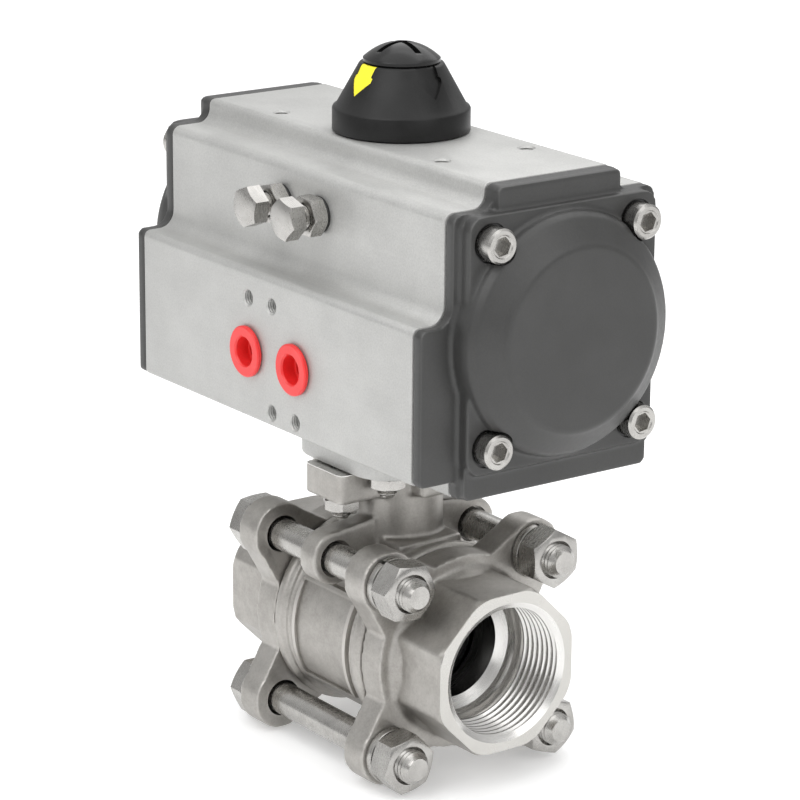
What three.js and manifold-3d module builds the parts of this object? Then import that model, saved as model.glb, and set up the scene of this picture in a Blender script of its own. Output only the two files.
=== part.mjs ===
// A quarter-turn ball valve with a rack-and-pinion air actuator mounted straight on top of it.
// Millimetres, +Z up. X runs along the pipe and along the actuator, and the air ports face -Y.
// The floor is z = 0 and the valve is shut at rest.
import * as THREE from 'three';
import { mergeVertices } from 'three/addons/utils/BufferGeometryUtils.js';
import Module from 'manifold-3d';

const wasm = await Module();
wasm.setup();

// Main heights above the floor
const pipeAxisZ = 36.3;
const padTopZ = 89.4;
const plateThickness = 10;
const baseZ = 100;
const housingHeight = 88;
const topZ = baseZ + housingHeight;
const portZ = baseZ + 25.7;
const boreZ = baseZ + 44.2;
const gap = 0.3;

// The air-port side stands out further, so the stem axis is moved to centre the outer box
const stemOffsetY = 6.25;

// How many flats stand for a full round
const fineSides = 24;
const roundSides = 16;
const boltSides = 10;
const smallSides = 8;

// Actuator housing
const housingHalfLength = 68.75;
const wingHalfWidth = 45.8;
const wingBottomZ = baseZ + 5.4;
const wingTopZ = portZ + 24.7;
const upperHalfWidth = 35.3;
const shoulderZ = portZ + 55.5;
const topHalfWidth = 22;
const backY = 35.5;
const footHalfWidth = 33;
const pistonBoreRadius = 31.5;
const portSpacing = 24;
const portRadius = 5.9;
const portDepth = 16;
const portScrewRise = 16;
const accessoryX = 40;
const accessoryY = 15;
const threadHoleRadius = 2.1;
const threadHoleDepth = 8;

// End covers
const coverStartX = housingHalfLength + gap;
const flangeEndX = 72.6;
const topBlockEndX = 74.6;
const footBlockEndX = 75.2;
const rimEndX = 76.9;
const domeEndX = 86;
const rimHalfWidth = 32.8;
const rimHalfHeight = 36.8;
const domeRadius = 35.4;
const discRadius = 26.3;
const coverScrewY = 25.5;
const coverScrewRise = 29.1;
const coverScrewSeatX = 76;
const counterboreRadius = 5.7;
const m6Radius = 3;
const m6HeadRadius = 5;
const m6HeadHeight = 6;
const m6HoleRadius = 3.3;

// Rack and pinion
const gearModule = 1.5;
const toothCount = 18;
const pitchRadius = gearModule * toothCount / 2;
const toothPitch = Math.PI * gearModule;
const pressureAngle = THREE.MathUtils.degToRad(20);
const flankClearance = 0.1;
const gearHalfHeight = 11;
const rackHalfHeight = 12;
const rackBackY = 25.5;
const rackEndX = 25.4;
const pistonInnerX = 26.4;
const pistonOuterX = 44.8;
const pistonRadius = 30.9;
const journalRadius = 11;
const lowerJournalRadius = 13.2;
const camRadius = 17.5;
const camFaceY = 12.6;
const camHubRadius = 13;
const camLobeStart = 3;
const keyReach = 12.6;
const camBottomZ = 165.4;
const camTopZ = 173.4;

// Stop screws
const stopScrewX = 9.5;
const stopScrewZ = portZ + 43.7;
const stopScrewRadius = 3.4;
const stopHexFlats = 10.8;
const stopHeadEndY = 48.8;
const stopHeadHeight = 5;
const stopNutHeight = 5;

// Indicator
const indicatorBaseRadius = 20.2;
const indicatorBaseTopZ = topZ + 7.2;
const coneTopZ = topZ + 20.2;
const coneTopRadius = 12.2;
const knobTopZ = topZ + 26.2;
const arrowDepth = 0.9;

// Valve
const boltHalfSpacing = 26.5;
const boltRadius = 5;
const boltHoleRadius = 5.7;
const plateStartX = 22.8;
const plateEndX = 32.4;
const earRadius = 9.8;
const waistRadius = 29.8;
const octagonApothem = 24.1;
const pipeEndX = 54.4;
const threadRadius = 20.3;
const reliefRadius = 21.3;
const stepRadius = 19;
const flowRadius = 15.5;
const bodyHalfLength = 22.3;
const bodyRadius = 27.8;
const bodyRingRadius = 30.6;
const cavityRadius = 24;
const ballRadius = 23;
const neckRadius = 13.3;
const lugShort = 2.2;
const lugLong = 5.5;
const lugRadius = 8.2;
const earPadBottomZ = 80.2;
const earReach = 28.2;
const earHalfWidth = 9.6;
const flangeReach = 21.5;
const flangeHalfWidth = 8.2;
const flangeRise = 4.2;
const studNutHeight = 3.8;
const mountRadius = 21;
const stemRadius = 7;
const stemHoleRadius = 7.3;
const stemSquare = 9.9;

const tau = Math.PI * 2;
const onStem = [0, 0, 0];

// --- Solids and meshes -------------------------------------------------------------------

function toManifold(geometry) {
  const bare = geometry.index ? geometry.toNonIndexed() : geometry.clone();
  bare.deleteAttribute('normal');
  bare.deleteAttribute('uv');
  const merged = mergeVertices(bare, 1e-4);
  const vertProperties = new Float32Array(merged.attributes.position.array);
  const triVerts = new Uint32Array(merged.index.array);
  const solid = new wasm.Manifold(new wasm.Mesh({ numProp: 3, vertProperties, triVerts }));
  if (solid.volume() > 0) return solid;
  for (let i = 0; i < triVerts.length; i += 3) {
    [triVerts[i], triVerts[i + 1]] = [triVerts[i + 1], triVerts[i]];
  }
  return new wasm.Manifold(new wasm.Mesh({ numProp: 3, vertProperties, triVerts }));
}

function toGeometry(solid) {
  const mesh = solid.getMesh();
  const positions = [];
  for (let i = 0; i < mesh.vertProperties.length; i += mesh.numProp) {
    positions.push(...mesh.vertProperties.slice(i, i + 3));
  }
  const geometry = new THREE.BufferGeometry();
  geometry.setAttribute('position', new THREE.Float32BufferAttribute(positions, 3));
  geometry.setIndex([...mesh.triVerts]);
  geometry.computeVertexNormals();
  return geometry;
}

function join(...solids) {
  return solids.reduce((sum, solid) => sum.add(solid));
}

function cut(solid, ...tools) {
  return tools.reduce((rest, tool) => rest.subtract(tool), solid);
}

function placed(geometry, matrix) {
  geometry.applyMatrix4(matrix);
  return toManifold(geometry);
}

function axisMatrix(axis) {
  const u = { x: [0, 1, 0], y: [0, 0, 1], z: [1, 0, 0] }[axis];
  const v = { x: [0, 0, 1], y: [1, 0, 0], z: [0, 1, 0] }[axis];
  const w = { x: [1, 0, 0], y: [0, 1, 0], z: [0, 0, 1] }[axis];
  const [a, b, c] = [u, v, w].map((n) => new THREE.Vector3(...n));
  return new THREE.Matrix4().makeBasis(a, b, c);
}

// A flat outline pushed along an axis from one end to the other
function prism(shape, axis, from, to, curveSegments = 2) {
  const settings = { depth: to - from, bevelEnabled: false, curveSegments };
  const geometry = new THREE.ExtrudeGeometry(shape, settings);
  geometry.translate(0, 0, from);
  return placed(geometry, axisMatrix(axis));
}

// A round bar along an axis, with its centre line through the given point
function bar(radius, axis, from, to, at = onStem, sides = roundSides, turn = 0) {
  const geometry = new THREE.CylinderGeometry(radius, radius, to - from, sides);
  geometry.rotateX(Math.PI / 2);
  geometry.rotateZ(turn);
  geometry.translate(0, 0, (from + to) / 2);
  geometry.applyMatrix4(axisMatrix(axis));
  geometry.translate(...at);
  return toManifold(geometry);
}

// A profile of [radius, place] points turned about an axis
function turned(points, axis, at = onStem, sides = fineSides) {
  const profile = points.map(([r, h]) => new THREE.Vector2(r, h));
  const geometry = new THREE.LatheGeometry(profile, sides);
  geometry.rotateX(Math.PI / 2);
  geometry.applyMatrix4(axisMatrix(axis));
  geometry.translate(...at);
  return toManifold(geometry);
}

function ring(inner, outer, axis, from, to, at = onStem, sides = fineSides) {
  const profile = [[inner, from], [outer, from], [outer, to], [inner, to], [inner, from]];
  return turned(profile, axis, at, sides);
}

function block(x0, x1, y0, y1, z0, z1) {
  const geometry = new THREE.BoxGeometry(x1 - x0, y1 - y0, z1 - z0);
  geometry.translate((x0 + x1) / 2, (y0 + y1) / 2, (z0 + z1) / 2);
  return toManifold(geometry);
}

function ball(radius, at, sides = fineSides) {
  const geometry = new THREE.SphereGeometry(radius, sides, sides / 2);
  geometry.rotateX(Math.PI / 2);
  geometry.translate(...at);
  return toManifold(geometry);
}

function hexagon(acrossFlats, axis, from, to, at, turn = 0) {
  return bar(acrossFlats / Math.sqrt(3), axis, from, to, at, 6, turn);
}

// A closed outline whose corners [u, v, radius] are rounded
function roundedOutline(corners) {
  const shape = new THREE.Shape();
  corners.forEach(([u, v, radius], i) => {
    const corner = new THREE.Vector2(u, v);
    const before = new THREE.Vector2(...corners.at(i - 1).slice(0, 2)).sub(corner);
    const after = new THREE.Vector2(...corners[(i + 1) % corners.length].slice(0, 2)).sub(corner);
    const start = corner.clone().addScaledVector(before.normalize(), radius);
    const end = corner.clone().addScaledVector(after.normalize(), radius);
    if (i === 0) shape.moveTo(start.x, start.y);
    else shape.lineTo(start.x, start.y);
    if (radius > 0) shape.quadraticCurveTo(corner.x, corner.y, end.x, end.y);
  });
  shape.closePath();
  return shape;
}

function roundedRectangle(halfU, halfV, radius, centreV = 0) {
  return roundedOutline([
    [halfU, centreV - halfV, radius],
    [halfU, centreV + halfV, radius],
    [-halfU, centreV + halfV, radius],
    [-halfU, centreV - halfV, radius],
  ]);
}

// --- Finishes ----------------------------------------------------------------------------

const finishes = {
  anodised: new THREE.MeshStandardMaterial({ color: 0xc9c9c6, roughness: 0.55, metalness: 0.6 }),
  coatedGrey: new THREE.MeshStandardMaterial({ color: 0x565655, roughness: 0.38, metalness: 0.3 }),
  castSteel: new THREE.MeshStandardMaterial({ color: 0xa5a29e, roughness: 0.5, metalness: 0.9 }),
  brightSteel: new THREE.MeshStandardMaterial({ color: 0xc4c2be, roughness: 0.28, metalness: 1 }),
  blackPlastic: new THREE.MeshStandardMaterial({ color: 0x161616, roughness: 0.42, metalness: 0 }),
  yellowPlastic: new THREE.MeshStandardMaterial({ color: 0xf2e21c, roughness: 0.5, metalness: 0 }),
  redPlastic: new THREE.MeshStandardMaterial({ color: 0xe0231f, roughness: 0.45, metalness: 0 }),
  whitePolymer: new THREE.MeshStandardMaterial({ color: 0xe6e4dc, roughness: 0.6, metalness: 0 }),
  rubber: new THREE.MeshStandardMaterial({ color: 0x1d1d1d, roughness: 0.7, metalness: 0 }),
};

const valve = new THREE.Group();
valve.position.y = stemOffsetY;

function addMesh(name, geometry, finish) {
  const mesh = new THREE.Mesh(geometry, finishes[finish]);
  mesh.name = name;
  valve.add(mesh);
  return mesh;
}

function addPiece(name, solid, finish) {
  return addMesh(name, toGeometry(solid), finish);
}

// One piece for the +X end, and the same piece turned half round the stem axis for the -X end
function addTurnedPair(rightName, leftName, solid, finish) {
  addPiece(rightName, solid, finish);
  addPiece(leftName, solid, finish).rotation.z = Math.PI;
}

// One piece for the +X end, and its mirror image for the -X end
function addMirroredPair(rightName, leftName, solid, finish) {
  const geometry = addPiece(rightName, solid, finish).geometry.clone();
  geometry.scale(-1, 1, 1);
  const corners = geometry.index.array;
  for (let i = 0; i < corners.length; i += 3) {
    [corners[i], corners[i + 1]] = [corners[i + 1], corners[i]];
  }
  geometry.computeVertexNormals();
  addMesh(leftName, geometry, finish);
}

// --- Actuator housing --------------------------------------------------------------------

function housingOutline() {
  return roundedOutline([
    [footHalfWidth, baseZ, 1.4],
    [footHalfWidth, wingBottomZ, 1],
    [backY, wingBottomZ, 1.6],
    [backY, shoulderZ, 2.8],
    [topHalfWidth, shoulderZ, 5],
    [topHalfWidth, topZ, 2],
    [-topHalfWidth, topZ, 2],
    [-topHalfWidth, shoulderZ, 5],
    [-upperHalfWidth, shoulderZ, 2.8],
    [-upperHalfWidth, wingTopZ, 5],
    [-wingHalfWidth, wingTopZ, 2.6],
    [-wingHalfWidth, wingBottomZ, 1.6],
    [-footHalfWidth, wingBottomZ, 1],
    [-footHalfWidth, baseZ, 1.4],
  ]);
}

// Four places at the corners of a rectangle
function fourWays(a, b) {
  return [[a, b], [-a, b], [-a, -b], [a, -b]];
}

// Places on the mounting circle: four between the axes, or two on the Y axis
function onMountCircle(between) {
  const angles = between ? [1, 3, 5, 7].map((n) => n * tau / 8) : [tau / 4, tau * 3 / 4];
  return angles.map((angle) => [mountRadius * Math.cos(angle), mountRadius * Math.sin(angle)]);
}

function housing() {
  const length = housingHalfLength;
  const outside = prism(housingOutline(), 'x', -length, length);
  const pistonBore = bar(pistonBoreRadius, 'x', -length - 1, length + 1, [0, 0, boreZ], fineSides);
  const camPocket = bar(camRadius + 1.5, 'z', boreZ, camTopZ + 1, onStem, fineSides);
  const upperShaftHole = bar(journalRadius + 3, 'z', boreZ, topZ + 1, onStem, roundSides);
  const ringRecess = bar(journalRadius + 5.5, 'z', topZ - 1.6, topZ + 1, onStem, roundSides);
  const lowerShaftHole = bar(lowerJournalRadius + 2.3, 'z', baseZ - 1, boreZ, onStem, roundSides);
  const ports = [-1, 1].map((side) => bar(
    portRadius, 'y', -wingHalfWidth - 1, -wingHalfWidth + portDepth,
    [side * portSpacing / 2, 0, portZ], roundSides,
  ));
  return cut(
    outside, pistonBore, camPocket, upperShaftHole, ringRecess, lowerShaftHole, ...ports,
    ...airPassages(), ...portScrewHoles(), ...accessoryHoles(), ...stopScrewHoles(),
    ...coverScrewThreads(), ...baseHoles(),
  );
}

// The first port opens between the pistons, the second feeds a gallery to both ends
function airPassages() {
  const passageRadius = 2;
  const galleryY = -40;
  const galleryZ = portZ - 11;
  const firstX = -portSpacing / 2;
  const secondX = portSpacing / 2;
  const end = housingHalfLength + 1;
  return [
    bar(passageRadius, 'y', -wingHalfWidth + portDepth - 1, -20, [firstX, 0, portZ], smallSides),
    bar(passageRadius, 'z', galleryZ, portZ, [secondX, galleryY, 0], smallSides),
    bar(passageRadius, 'x', -end, end, [0, galleryY, galleryZ], smallSides),
  ];
}

function portScrewHoles() {
  const half = portSpacing / 2;
  const places = [[-half, portScrewRise], [0, portScrewRise], [0, -portScrewRise], [half, -portScrewRise]];
  return places.map(([x, rise]) => bar(
    threadHoleRadius, 'y', -wingHalfWidth - 1, -wingHalfWidth + threadHoleDepth,
    [x, 0, portZ + rise], smallSides,
  ));
}

function accessoryHoles() {
  return fourWays(accessoryX, accessoryY).map(([x, y]) => bar(
    threadHoleRadius, 'z', topZ - threadHoleDepth, topZ + 1, [x, y, 0], smallSides,
  ));
}

function stopScrewHoles() {
  return [-1, 1].map((side) => bar(
    stopScrewRadius + gap, 'y', -upperHalfWidth - 1, -10, [side * stopScrewX, 0, stopScrewZ], boltSides,
  ));
}

function coverScrewThreads() {
  const depth = 18;
  const ends = [[-housingHalfLength - 1, -housingHalfLength + depth],
    [housingHalfLength - depth, housingHalfLength + 1]];
  return ends.flatMap(([from, to]) => fourWays(coverScrewY, coverScrewRise).map(
    ([y, rise]) => bar(m6HoleRadius, 'x', from, to, [0, y, boreZ + rise], smallSides),
  ));
}

function baseHoles() {
  return onMountCircle(true).map(([x, y]) => bar(
    m6HoleRadius, 'z', baseZ - 1, baseZ + 11, [x, y, 0], smallSides,
  ));
}

// --- End covers --------------------------------------------------------------------------

function coverDome() {
  const spigotRadius = pistonBoreRadius - gap;
  const spigotX = 67;
  const wall = 4;
  return turned([
    [0, domeEndX],
    [discRadius, domeEndX],
    [29.6, 84.9],
    [33.2, 81.4],
    [domeRadius, rimEndX],
    [domeRadius, coverStartX],
    [spigotRadius, coverStartX],
    [spigotRadius, spigotX],
    [spigotRadius - wall, spigotX],
    [spigotRadius - wall, 80],
    [spigotRadius - wall - 3, domeEndX - wall],
    [0, domeEndX - wall],
    [0, domeEndX],
  ], 'x', [0, 0, boreZ]);
}

function cover() {
  const [from, to] = [coverStartX - 1, rimEndX + 3];
  const hollow = bar(pistonBoreRadius - 1, 'x', from, to, [0, 0, boreZ], fineSides);
  const flange = prism(housingOutline(), 'x', coverStartX, flangeEndX);
  const topBlock = prism(roundedOutline([
    [topHalfWidth - 0.3, boreZ, 0],
    [topHalfWidth - 0.3, topZ - 0.2, 2],
    [-topHalfWidth + 0.3, topZ - 0.2, 2],
    [-topHalfWidth + 0.3, boreZ, 0],
  ]), 'x', coverStartX, topBlockEndX);
  const footBlock = prism(roundedOutline([
    [footHalfWidth - 0.6, baseZ + 0.2, 2],
    [footHalfWidth - 0.6, boreZ, 0],
    [-footHalfWidth + 0.6, boreZ, 0],
    [-footHalfWidth + 0.6, baseZ + 0.2, 2],
  ]), 'x', coverStartX, footBlockEndX);
  const rim = prism(roundedRectangle(rimHalfWidth, rimHalfHeight, 4, boreZ), 'x', coverStartX, rimEndX);
  const plates = cut(join(flange, topBlock, footBlock, rim), hollow);
  const screwHoles = fourWays(coverScrewY, coverScrewRise).flatMap(([y, rise]) => [
    bar(m6HoleRadius, 'x', coverStartX - 1, rimEndX + 1, [0, y, boreZ + rise], boltSides),
    bar(counterboreRadius, 'x', coverScrewSeatX, domeEndX, [0, y, boreZ + rise], roundSides),
  ]);
  return cut(join(plates, coverDome()), ...screwHoles);
}

function coverScrew(y, rise) {
  const at = [0, y, boreZ + rise];
  const seat = coverScrewSeatX + gap;
  const end = seat + m6HeadHeight;
  const shank = bar(m6Radius - 0.2, 'x', housingHalfLength - 14, seat + 1, at, smallSides);
  const head = bar(m6HeadRadius, 'x', seat, end, at, boltSides);
  return cut(join(shank, head), hexagon(5, 'x', end - 3.2, end + 1, at));
}

function addHousing() {
  addPiece('actuator_housing', housing(), 'anodised');
  addMirroredPair('end_cover_right', 'end_cover_left', cover(), 'coatedGrey');
  fourWays(coverScrewY, coverScrewRise).forEach(([y, rise], i) => {
    const names = [`cover_screw_right_${i + 1}`, `cover_screw_left_${i + 1}`];
    addMirroredPair(...names, coverScrew(y, rise), 'brightSteel');
  });
}

// --- Rack and pinion ---------------------------------------------------------------------

function involute(angle) {
  return Math.tan(angle) - angle;
}

// Half the angle that a tooth fills at a given radius
function halfToothAngle(radius) {
  const baseRadius = pitchRadius * Math.cos(pressureAngle);
  const atPitch = Math.PI / (2 * toothCount) - flankClearance / pitchRadius;
  const rolled = Math.acos(Math.min(1, baseRadius / Math.max(radius, baseRadius)));
  return atPitch + involute(pressureAngle) - involute(rolled);
}

function gearOutline() {
  const rootRadius = pitchRadius - 1.25 * gearModule;
  const tipRadius = pitchRadius + gearModule;
  const radii = [rootRadius, pitchRadius, tipRadius - 0.1];
  const shape = new THREE.Shape();
  for (let tooth = 0; tooth < toothCount; tooth += 1) {
    const centre = tooth * tau / toothCount - tau / 4;
    const rising = radii.map((r) => [r, centre - halfToothAngle(r)]);
    const falling = [...radii].reverse().map((r) => [r, centre + halfToothAngle(r)]);
    [...rising, ...falling].forEach(([r, angle], i) => {
      const move = tooth === 0 && i === 0 ? 'moveTo' : 'lineTo';
      shape[move](r * Math.cos(angle), r * Math.sin(angle));
    });
  }
  shape.closePath();
  return shape;
}

// A ring on the shaft with a wide lobe, whose two end faces meet the stop screws a quarter turn apart
function stopCam() {
  const [bottom, top] = [camBottomZ - 1, camTopZ + 1];
  const far = camRadius + 2;
  const lobe = cut(
    bar(camRadius, 'z', camBottomZ, camTopZ, onStem, fineSides),
    block(-far, far, -far, -camFaceY, bottom, top),
    block(-far, -camFaceY, -far, far, bottom, top),
    block(-far, camLobeStart, -far, camLobeStart, bottom, top),
  );
  const hub = bar(camHubRadius, 'z', camBottomZ, camTopZ, onStem, roundSides);
  const shaftHole = bar(journalRadius + gap, 'z', bottom, top, onStem, roundSides);
  const keyway = block(0, keyReach + gap, -2 - gap, 2 + gap, bottom, top);
  return cut(join(lobe, hub), shaftHole, keyway);
}

function pinion() {
  const bottom = baseZ + 0.6;
  const top = topZ + 3;
  const driveTop = topZ + 9;
  const socketTop = baseZ + 18;
  const half = stemSquare / 2 + gap;
  const shaft = join(
    bar(lowerJournalRadius, 'z', bottom, baseZ + 13.5, onStem, roundSides),
    bar(journalRadius, 'z', baseZ + 13, top, onStem, roundSides),
    prism(gearOutline(), 'z', boreZ - gearHalfHeight, boreZ + gearHalfHeight),
    block(9, keyReach, -2, 2, camBottomZ, camTopZ),
    block(-6, 6, -6, 6, top - 1, driveTop),
  );
  const grooveRadius = journalRadius - 0.9;
  const ringGroove = ring(grooveRadius, journalRadius + 2, 'z', topZ + 0.2, topZ + 1.8, onStem, roundSides);
  const stemSocket = block(-half, half, -half, half, bottom - 1, socketTop);
  const screwHole = bar(2.9, 'z', topZ - 6, driveTop + 1, onStem, smallSides);
  return cut(shaft, ringGroove, stemSocket, screwHole);
}

// Teeth cut along the inner side of the arm, which lies on the -Y side of the pinion
function rackOutline() {
  const tipY = -(pitchRadius - gearModule + 0.05);
  const rootY = -(pitchRadius + 1.25 * gearModule);
  const slope = Math.tan(pressureAngle);
  const halfAtPitch = toothPitch / 4 - flankClearance;
  const halfTip = halfAtPitch - slope * (gearModule - 0.05);
  const halfRoot = halfAtPitch + slope * 1.25 * gearModule;
  const shape = new THREE.Shape();
  shape.moveTo(pistonInnerX + 1, -rackBackY);
  shape.lineTo(pistonInnerX + 1, rootY);
  for (let tooth = 1; tooth >= -4; tooth -= 1) {
    const x = (tooth + 0.5) * toothPitch;
    shape.lineTo(x + halfRoot, rootY);
    shape.lineTo(x + halfTip, tipY);
    shape.lineTo(x - halfTip, tipY);
    shape.lineTo(x - halfRoot, rootY);
  }
  shape.lineTo(-rackEndX, rootY);
  shape.lineTo(-rackEndX, -rackBackY);
  shape.closePath();
  return shape;
}

function piston() {
  const profile = [
    [0, pistonInnerX], [pistonRadius, pistonInnerX], [pistonRadius, 33.3],
    [28.4, 33.3], [28.4, 37.7], [pistonRadius, 37.7], [pistonRadius, pistonOuterX],
    [pistonRadius - 5, pistonOuterX], [pistonRadius - 6.5, 36], [0, 36], [0, pistonInnerX],
  ];
  const head = turned(profile, 'x', [0, 0, boreZ]);
  const arm = prism(rackOutline(), 'z', boreZ - rackHalfHeight, boreZ + rackHalfHeight);
  return join(head, arm);
}

function addDrive() {
  addPiece('pinion', pinion(), 'brightSteel');
  addPiece('stop_cam', stopCam(), 'brightSteel');
  addTurnedPair('piston_right', 'piston_left', piston(), 'anodised');
  const seal = ring(28.7, 31.2, 'x', 33.6, 37.4, [0, 0, boreZ]);
  addTurnedPair('piston_seal_right', 'piston_seal_left', seal, 'rubber');
  addPiece('upper_bearing', bearing(journalRadius, 2.7, camTopZ + 1.5, topZ - 1.9), 'whitePolymer');
  addPiece('lower_bearing', bearing(lowerJournalRadius, 2, baseZ + 0.6, baseZ + 12), 'whitePolymer');
  addPiece('retaining_ring', retainingRing(), 'brightSteel');
}

function bearing(shaftRadius, wall, from, to) {
  return ring(shaftRadius + gap, shaftRadius + wall, 'z', from, to, onStem, roundSides);
}

// An open clip that sits in the groove of the upper journal
function retainingRing() {
  const outer = journalRadius + 4;
  const clip = ring(journalRadius - 0.6, outer, 'z', topZ + 0.5, topZ + 1.5, onStem, roundSides);
  return cut(clip, block(0, outer + 1, -3, 3, topZ, topZ + 2));
}

// --- Stop screws, plugs and indicator ----------------------------------------------------

function stopScrew(side) {
  const at = [side * stopScrewX, 0, stopScrewZ];
  const headStart = -stopHeadEndY + stopHeadHeight;
  const shank = bar(stopScrewRadius, 'y', headStart - 1, -camFaceY - gap, at, boltSides);
  return join(shank, hexagon(stopHexFlats, 'y', -stopHeadEndY, headStart, at));
}

function stopNut(side) {
  const at = [side * stopScrewX, 0, stopScrewZ];
  const seat = -upperHalfWidth - 0.9;
  const nut = hexagon(stopHexFlats, 'y', seat - stopNutHeight, seat, at);
  return cut(nut, bar(stopScrewRadius + gap, 'y', seat - stopNutHeight - 1, seat + 1, at, boltSides));
}

// A hollow push-in plug: a flange, a tapered cup wall and a closed end
function portPlug(side) {
  const face = -wingHalfWidth - gap;
  const profile = [
    [0, face + 9], [0, face + 11], [5, face + 11], [5.5, face], [7.6, face],
    [7.6, face - 1.4], [4.4, face - 1.4], [4, face + 9], [0, face + 9],
  ];
  return turned(profile, 'y', [side * portSpacing / 2, 0, portZ], roundSides);
}

function arrowOutline(scale) {
  const shape = new THREE.Shape();
  const points = [
    [-3, 5.7], [3, 5.7], [3, 3.5], [4.25, 3.5], [4.25, 2], [0, -2.2], [-4.25, 2], [-4.25, 3.5], [-3, 3.5],
  ];
  points.forEach(([u, v], i) => {
    const grown = [u * scale, v * scale + (indicatorBaseTopZ + coneTopZ) / 2];
    shape[i === 0 ? 'moveTo' : 'lineTo'](...grown);
  });
  shape.closePath();
  return shape;
}

// Arrow outlines are drawn in X and Z and pushed along Y, or turned to run along X
function arrowBar(scale, from, to, axis = 'y') {
  const settings = { depth: to - from, bevelEnabled: false };
  const geometry = new THREE.ExtrudeGeometry(arrowOutline(scale), settings);
  geometry.rotateX(Math.PI / 2);
  geometry.translate(0, to, 0);
  if (axis === 'x') geometry.rotateZ(Math.PI / 2);
  return toManifold(geometry);
}

// The two plain arrows, sunk a little below the cone
function arrowRecesses() {
  const floor = turned([
    [0, topZ], [indicatorBaseRadius - arrowDepth, topZ], [indicatorBaseRadius - arrowDepth, indicatorBaseTopZ],
    [coneTopRadius - arrowDepth, coneTopZ], [0, coneTopZ], [0, topZ],
  ], 'z');
  return cut(arrowBar(1, -20, 20, 'x'), floor);
}

function indicatorCap() {
  const bottom = topZ + gap;
  const outside = turned([
    [0, bottom], [indicatorBaseRadius, bottom], [indicatorBaseRadius, indicatorBaseTopZ - 0.8],
    [indicatorBaseRadius - 0.8, indicatorBaseTopZ], [coneTopRadius, coneTopZ], [0, coneTopZ], [0, bottom],
  ], 'z');
  const inside = turned([
    [0, bottom - 1], [17.6, bottom - 1], [17.6, indicatorBaseTopZ - 1.4], [15, indicatorBaseTopZ + 1],
    [coneTopRadius - 2.2, coneTopZ - 2.4], [0, coneTopZ - 2.4], [0, bottom - 1],
  ], 'z');
  const windows = arrowBar(1.08, -20, 20);
  const screwHole = bar(3.2, 'z', coneTopZ - 4, coneTopZ + 1, onStem, boltSides);
  return cut(outside, inside, windows, arrowRecesses(), screwHole);
}

// A yellow core under the black cap, whose two arrows fill the windows of the cap
function indicatorInsert() {
  const bottom = indicatorBaseTopZ - 1.2;
  const core = turned([
    [0, bottom], [14.4, bottom + 1.6],
    [coneTopRadius - 2.7, coneTopZ - 2.8], [0, coneTopZ - 2.8], [0, bottom],
  ], 'z');
  const skin = turned([
    [0, bottom], [indicatorBaseRadius - 1.1, indicatorBaseTopZ], [coneTopRadius - 0.3, coneTopZ],
    [0, coneTopZ], [0, bottom],
  ], 'z');
  const arrows = arrowBar(1, -20, 20).intersect(skin);
  const socket = block(-6.3, 6.3, -6.3, 6.3, bottom - 2, topZ + 9.3);
  const screwHole = bar(3.3, 'z', topZ, coneTopZ + 1, onStem, boltSides);
  return cut(join(core, arrows), socket, screwHole);
}

function indicatorScrew() {
  const seat = coneTopZ + gap;
  const head = turned([
    [0, topZ - 3], [2.6, topZ - 3], [2.6, seat], [11.3, seat], [11.3, seat + 1.3], [9.6, seat + 3.4],
    [6.4, seat + 5], [0, knobTopZ], [0, topZ - 3],
  ], 'z', onStem, roundSides);
  const slotBottom = knobTopZ - 1.6;
  const slots = [
    block(-7, 7, -0.8, 0.8, slotBottom, knobTopZ + 1),
    block(-0.8, 0.8, -7, 7, slotBottom, knobTopZ + 1),
  ];
  return cut(head, ...slots);
}

function addOutsideParts() {
  [['left', -1], ['right', 1]].forEach(([name, side]) => {
    addPiece(`stop_screw_${name}`, stopScrew(side), 'brightSteel');
    addPiece(`stop_nut_${name}`, stopNut(side), 'brightSteel');
    addPiece(`port_plug_${name}`, portPlug(side), 'redPlastic');
  });
  addPiece('indicator_cap', indicatorCap(), 'blackPlastic');
  addPiece('indicator_insert', indicatorInsert(), 'yellowPlastic');
  addPiece('indicator_screw', indicatorScrew(), 'blackPlastic');
}

// --- Valve body --------------------------------------------------------------------------

// The centre section is turned about the pipe axis
function bodyBarrel() {
  const half = [[bodyRadius, 14], [29.2, 15.5], [28.8, 17.4], [bodyRingRadius, 19], [29.8, bodyHalfLength]];
  const outside = [...half].reverse().map(([r, x]) => [r, x]);
  const mirrored = half.map(([r, x]) => [r, -x]);
  const profile = [
    [27.1, bodyHalfLength], ...outside, ...mirrored,
    [27.1, -bodyHalfLength], [27.1, -20.5], [cavityRadius, -20.5],
    [cavityRadius, 20.5], [27.1, 20.5], [27.1, bodyHalfLength],
  ];
  return turned(profile, 'x', [0, 0, pipeAxisZ]);
}

// The web that joins each upper bolt lug to the neck
function lugOutline(side) {
  const boltZ = pipeAxisZ + boltHalfSpacing;
  const shape = new THREE.Shape();
  const at = side * boltHalfSpacing;
  shape.moveTo(side * 9, boltZ + lugRadius);
  shape.lineTo(at, boltZ + lugRadius);
  shape.absarc(at, boltZ, lugRadius, tau / 4, side > 0 ? -tau / 10 : tau * 0.6, side > 0);
  shape.lineTo(side * 20, boltZ - 12);
  shape.lineTo(side * 9, boltZ - 9);
  shape.closePath();
  return shape;
}

// Two bolting ears stand along Y at the top of the neck, with a thinner flange across them
function earCross(from, to) {
  return join(
    prism(roundedRectangle(flangeReach, flangeHalfWidth, 3.2), 'z', from + flangeRise, to),
    prism(roundedRectangle(earHalfWidth, earReach, 3.2), 'z', from, to),
  );
}

function namePanel() {
  const plate = block(-13.8, 13.8, -30, -18, pipeAxisZ - 16.2, pipeAxisZ + 16.2);
  const skin = bar(bodyRadius + 1.1, 'x', -15, 15, [0, 0, pipeAxisZ], fineSides);
  return plate.intersect(skin);
}

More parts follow.
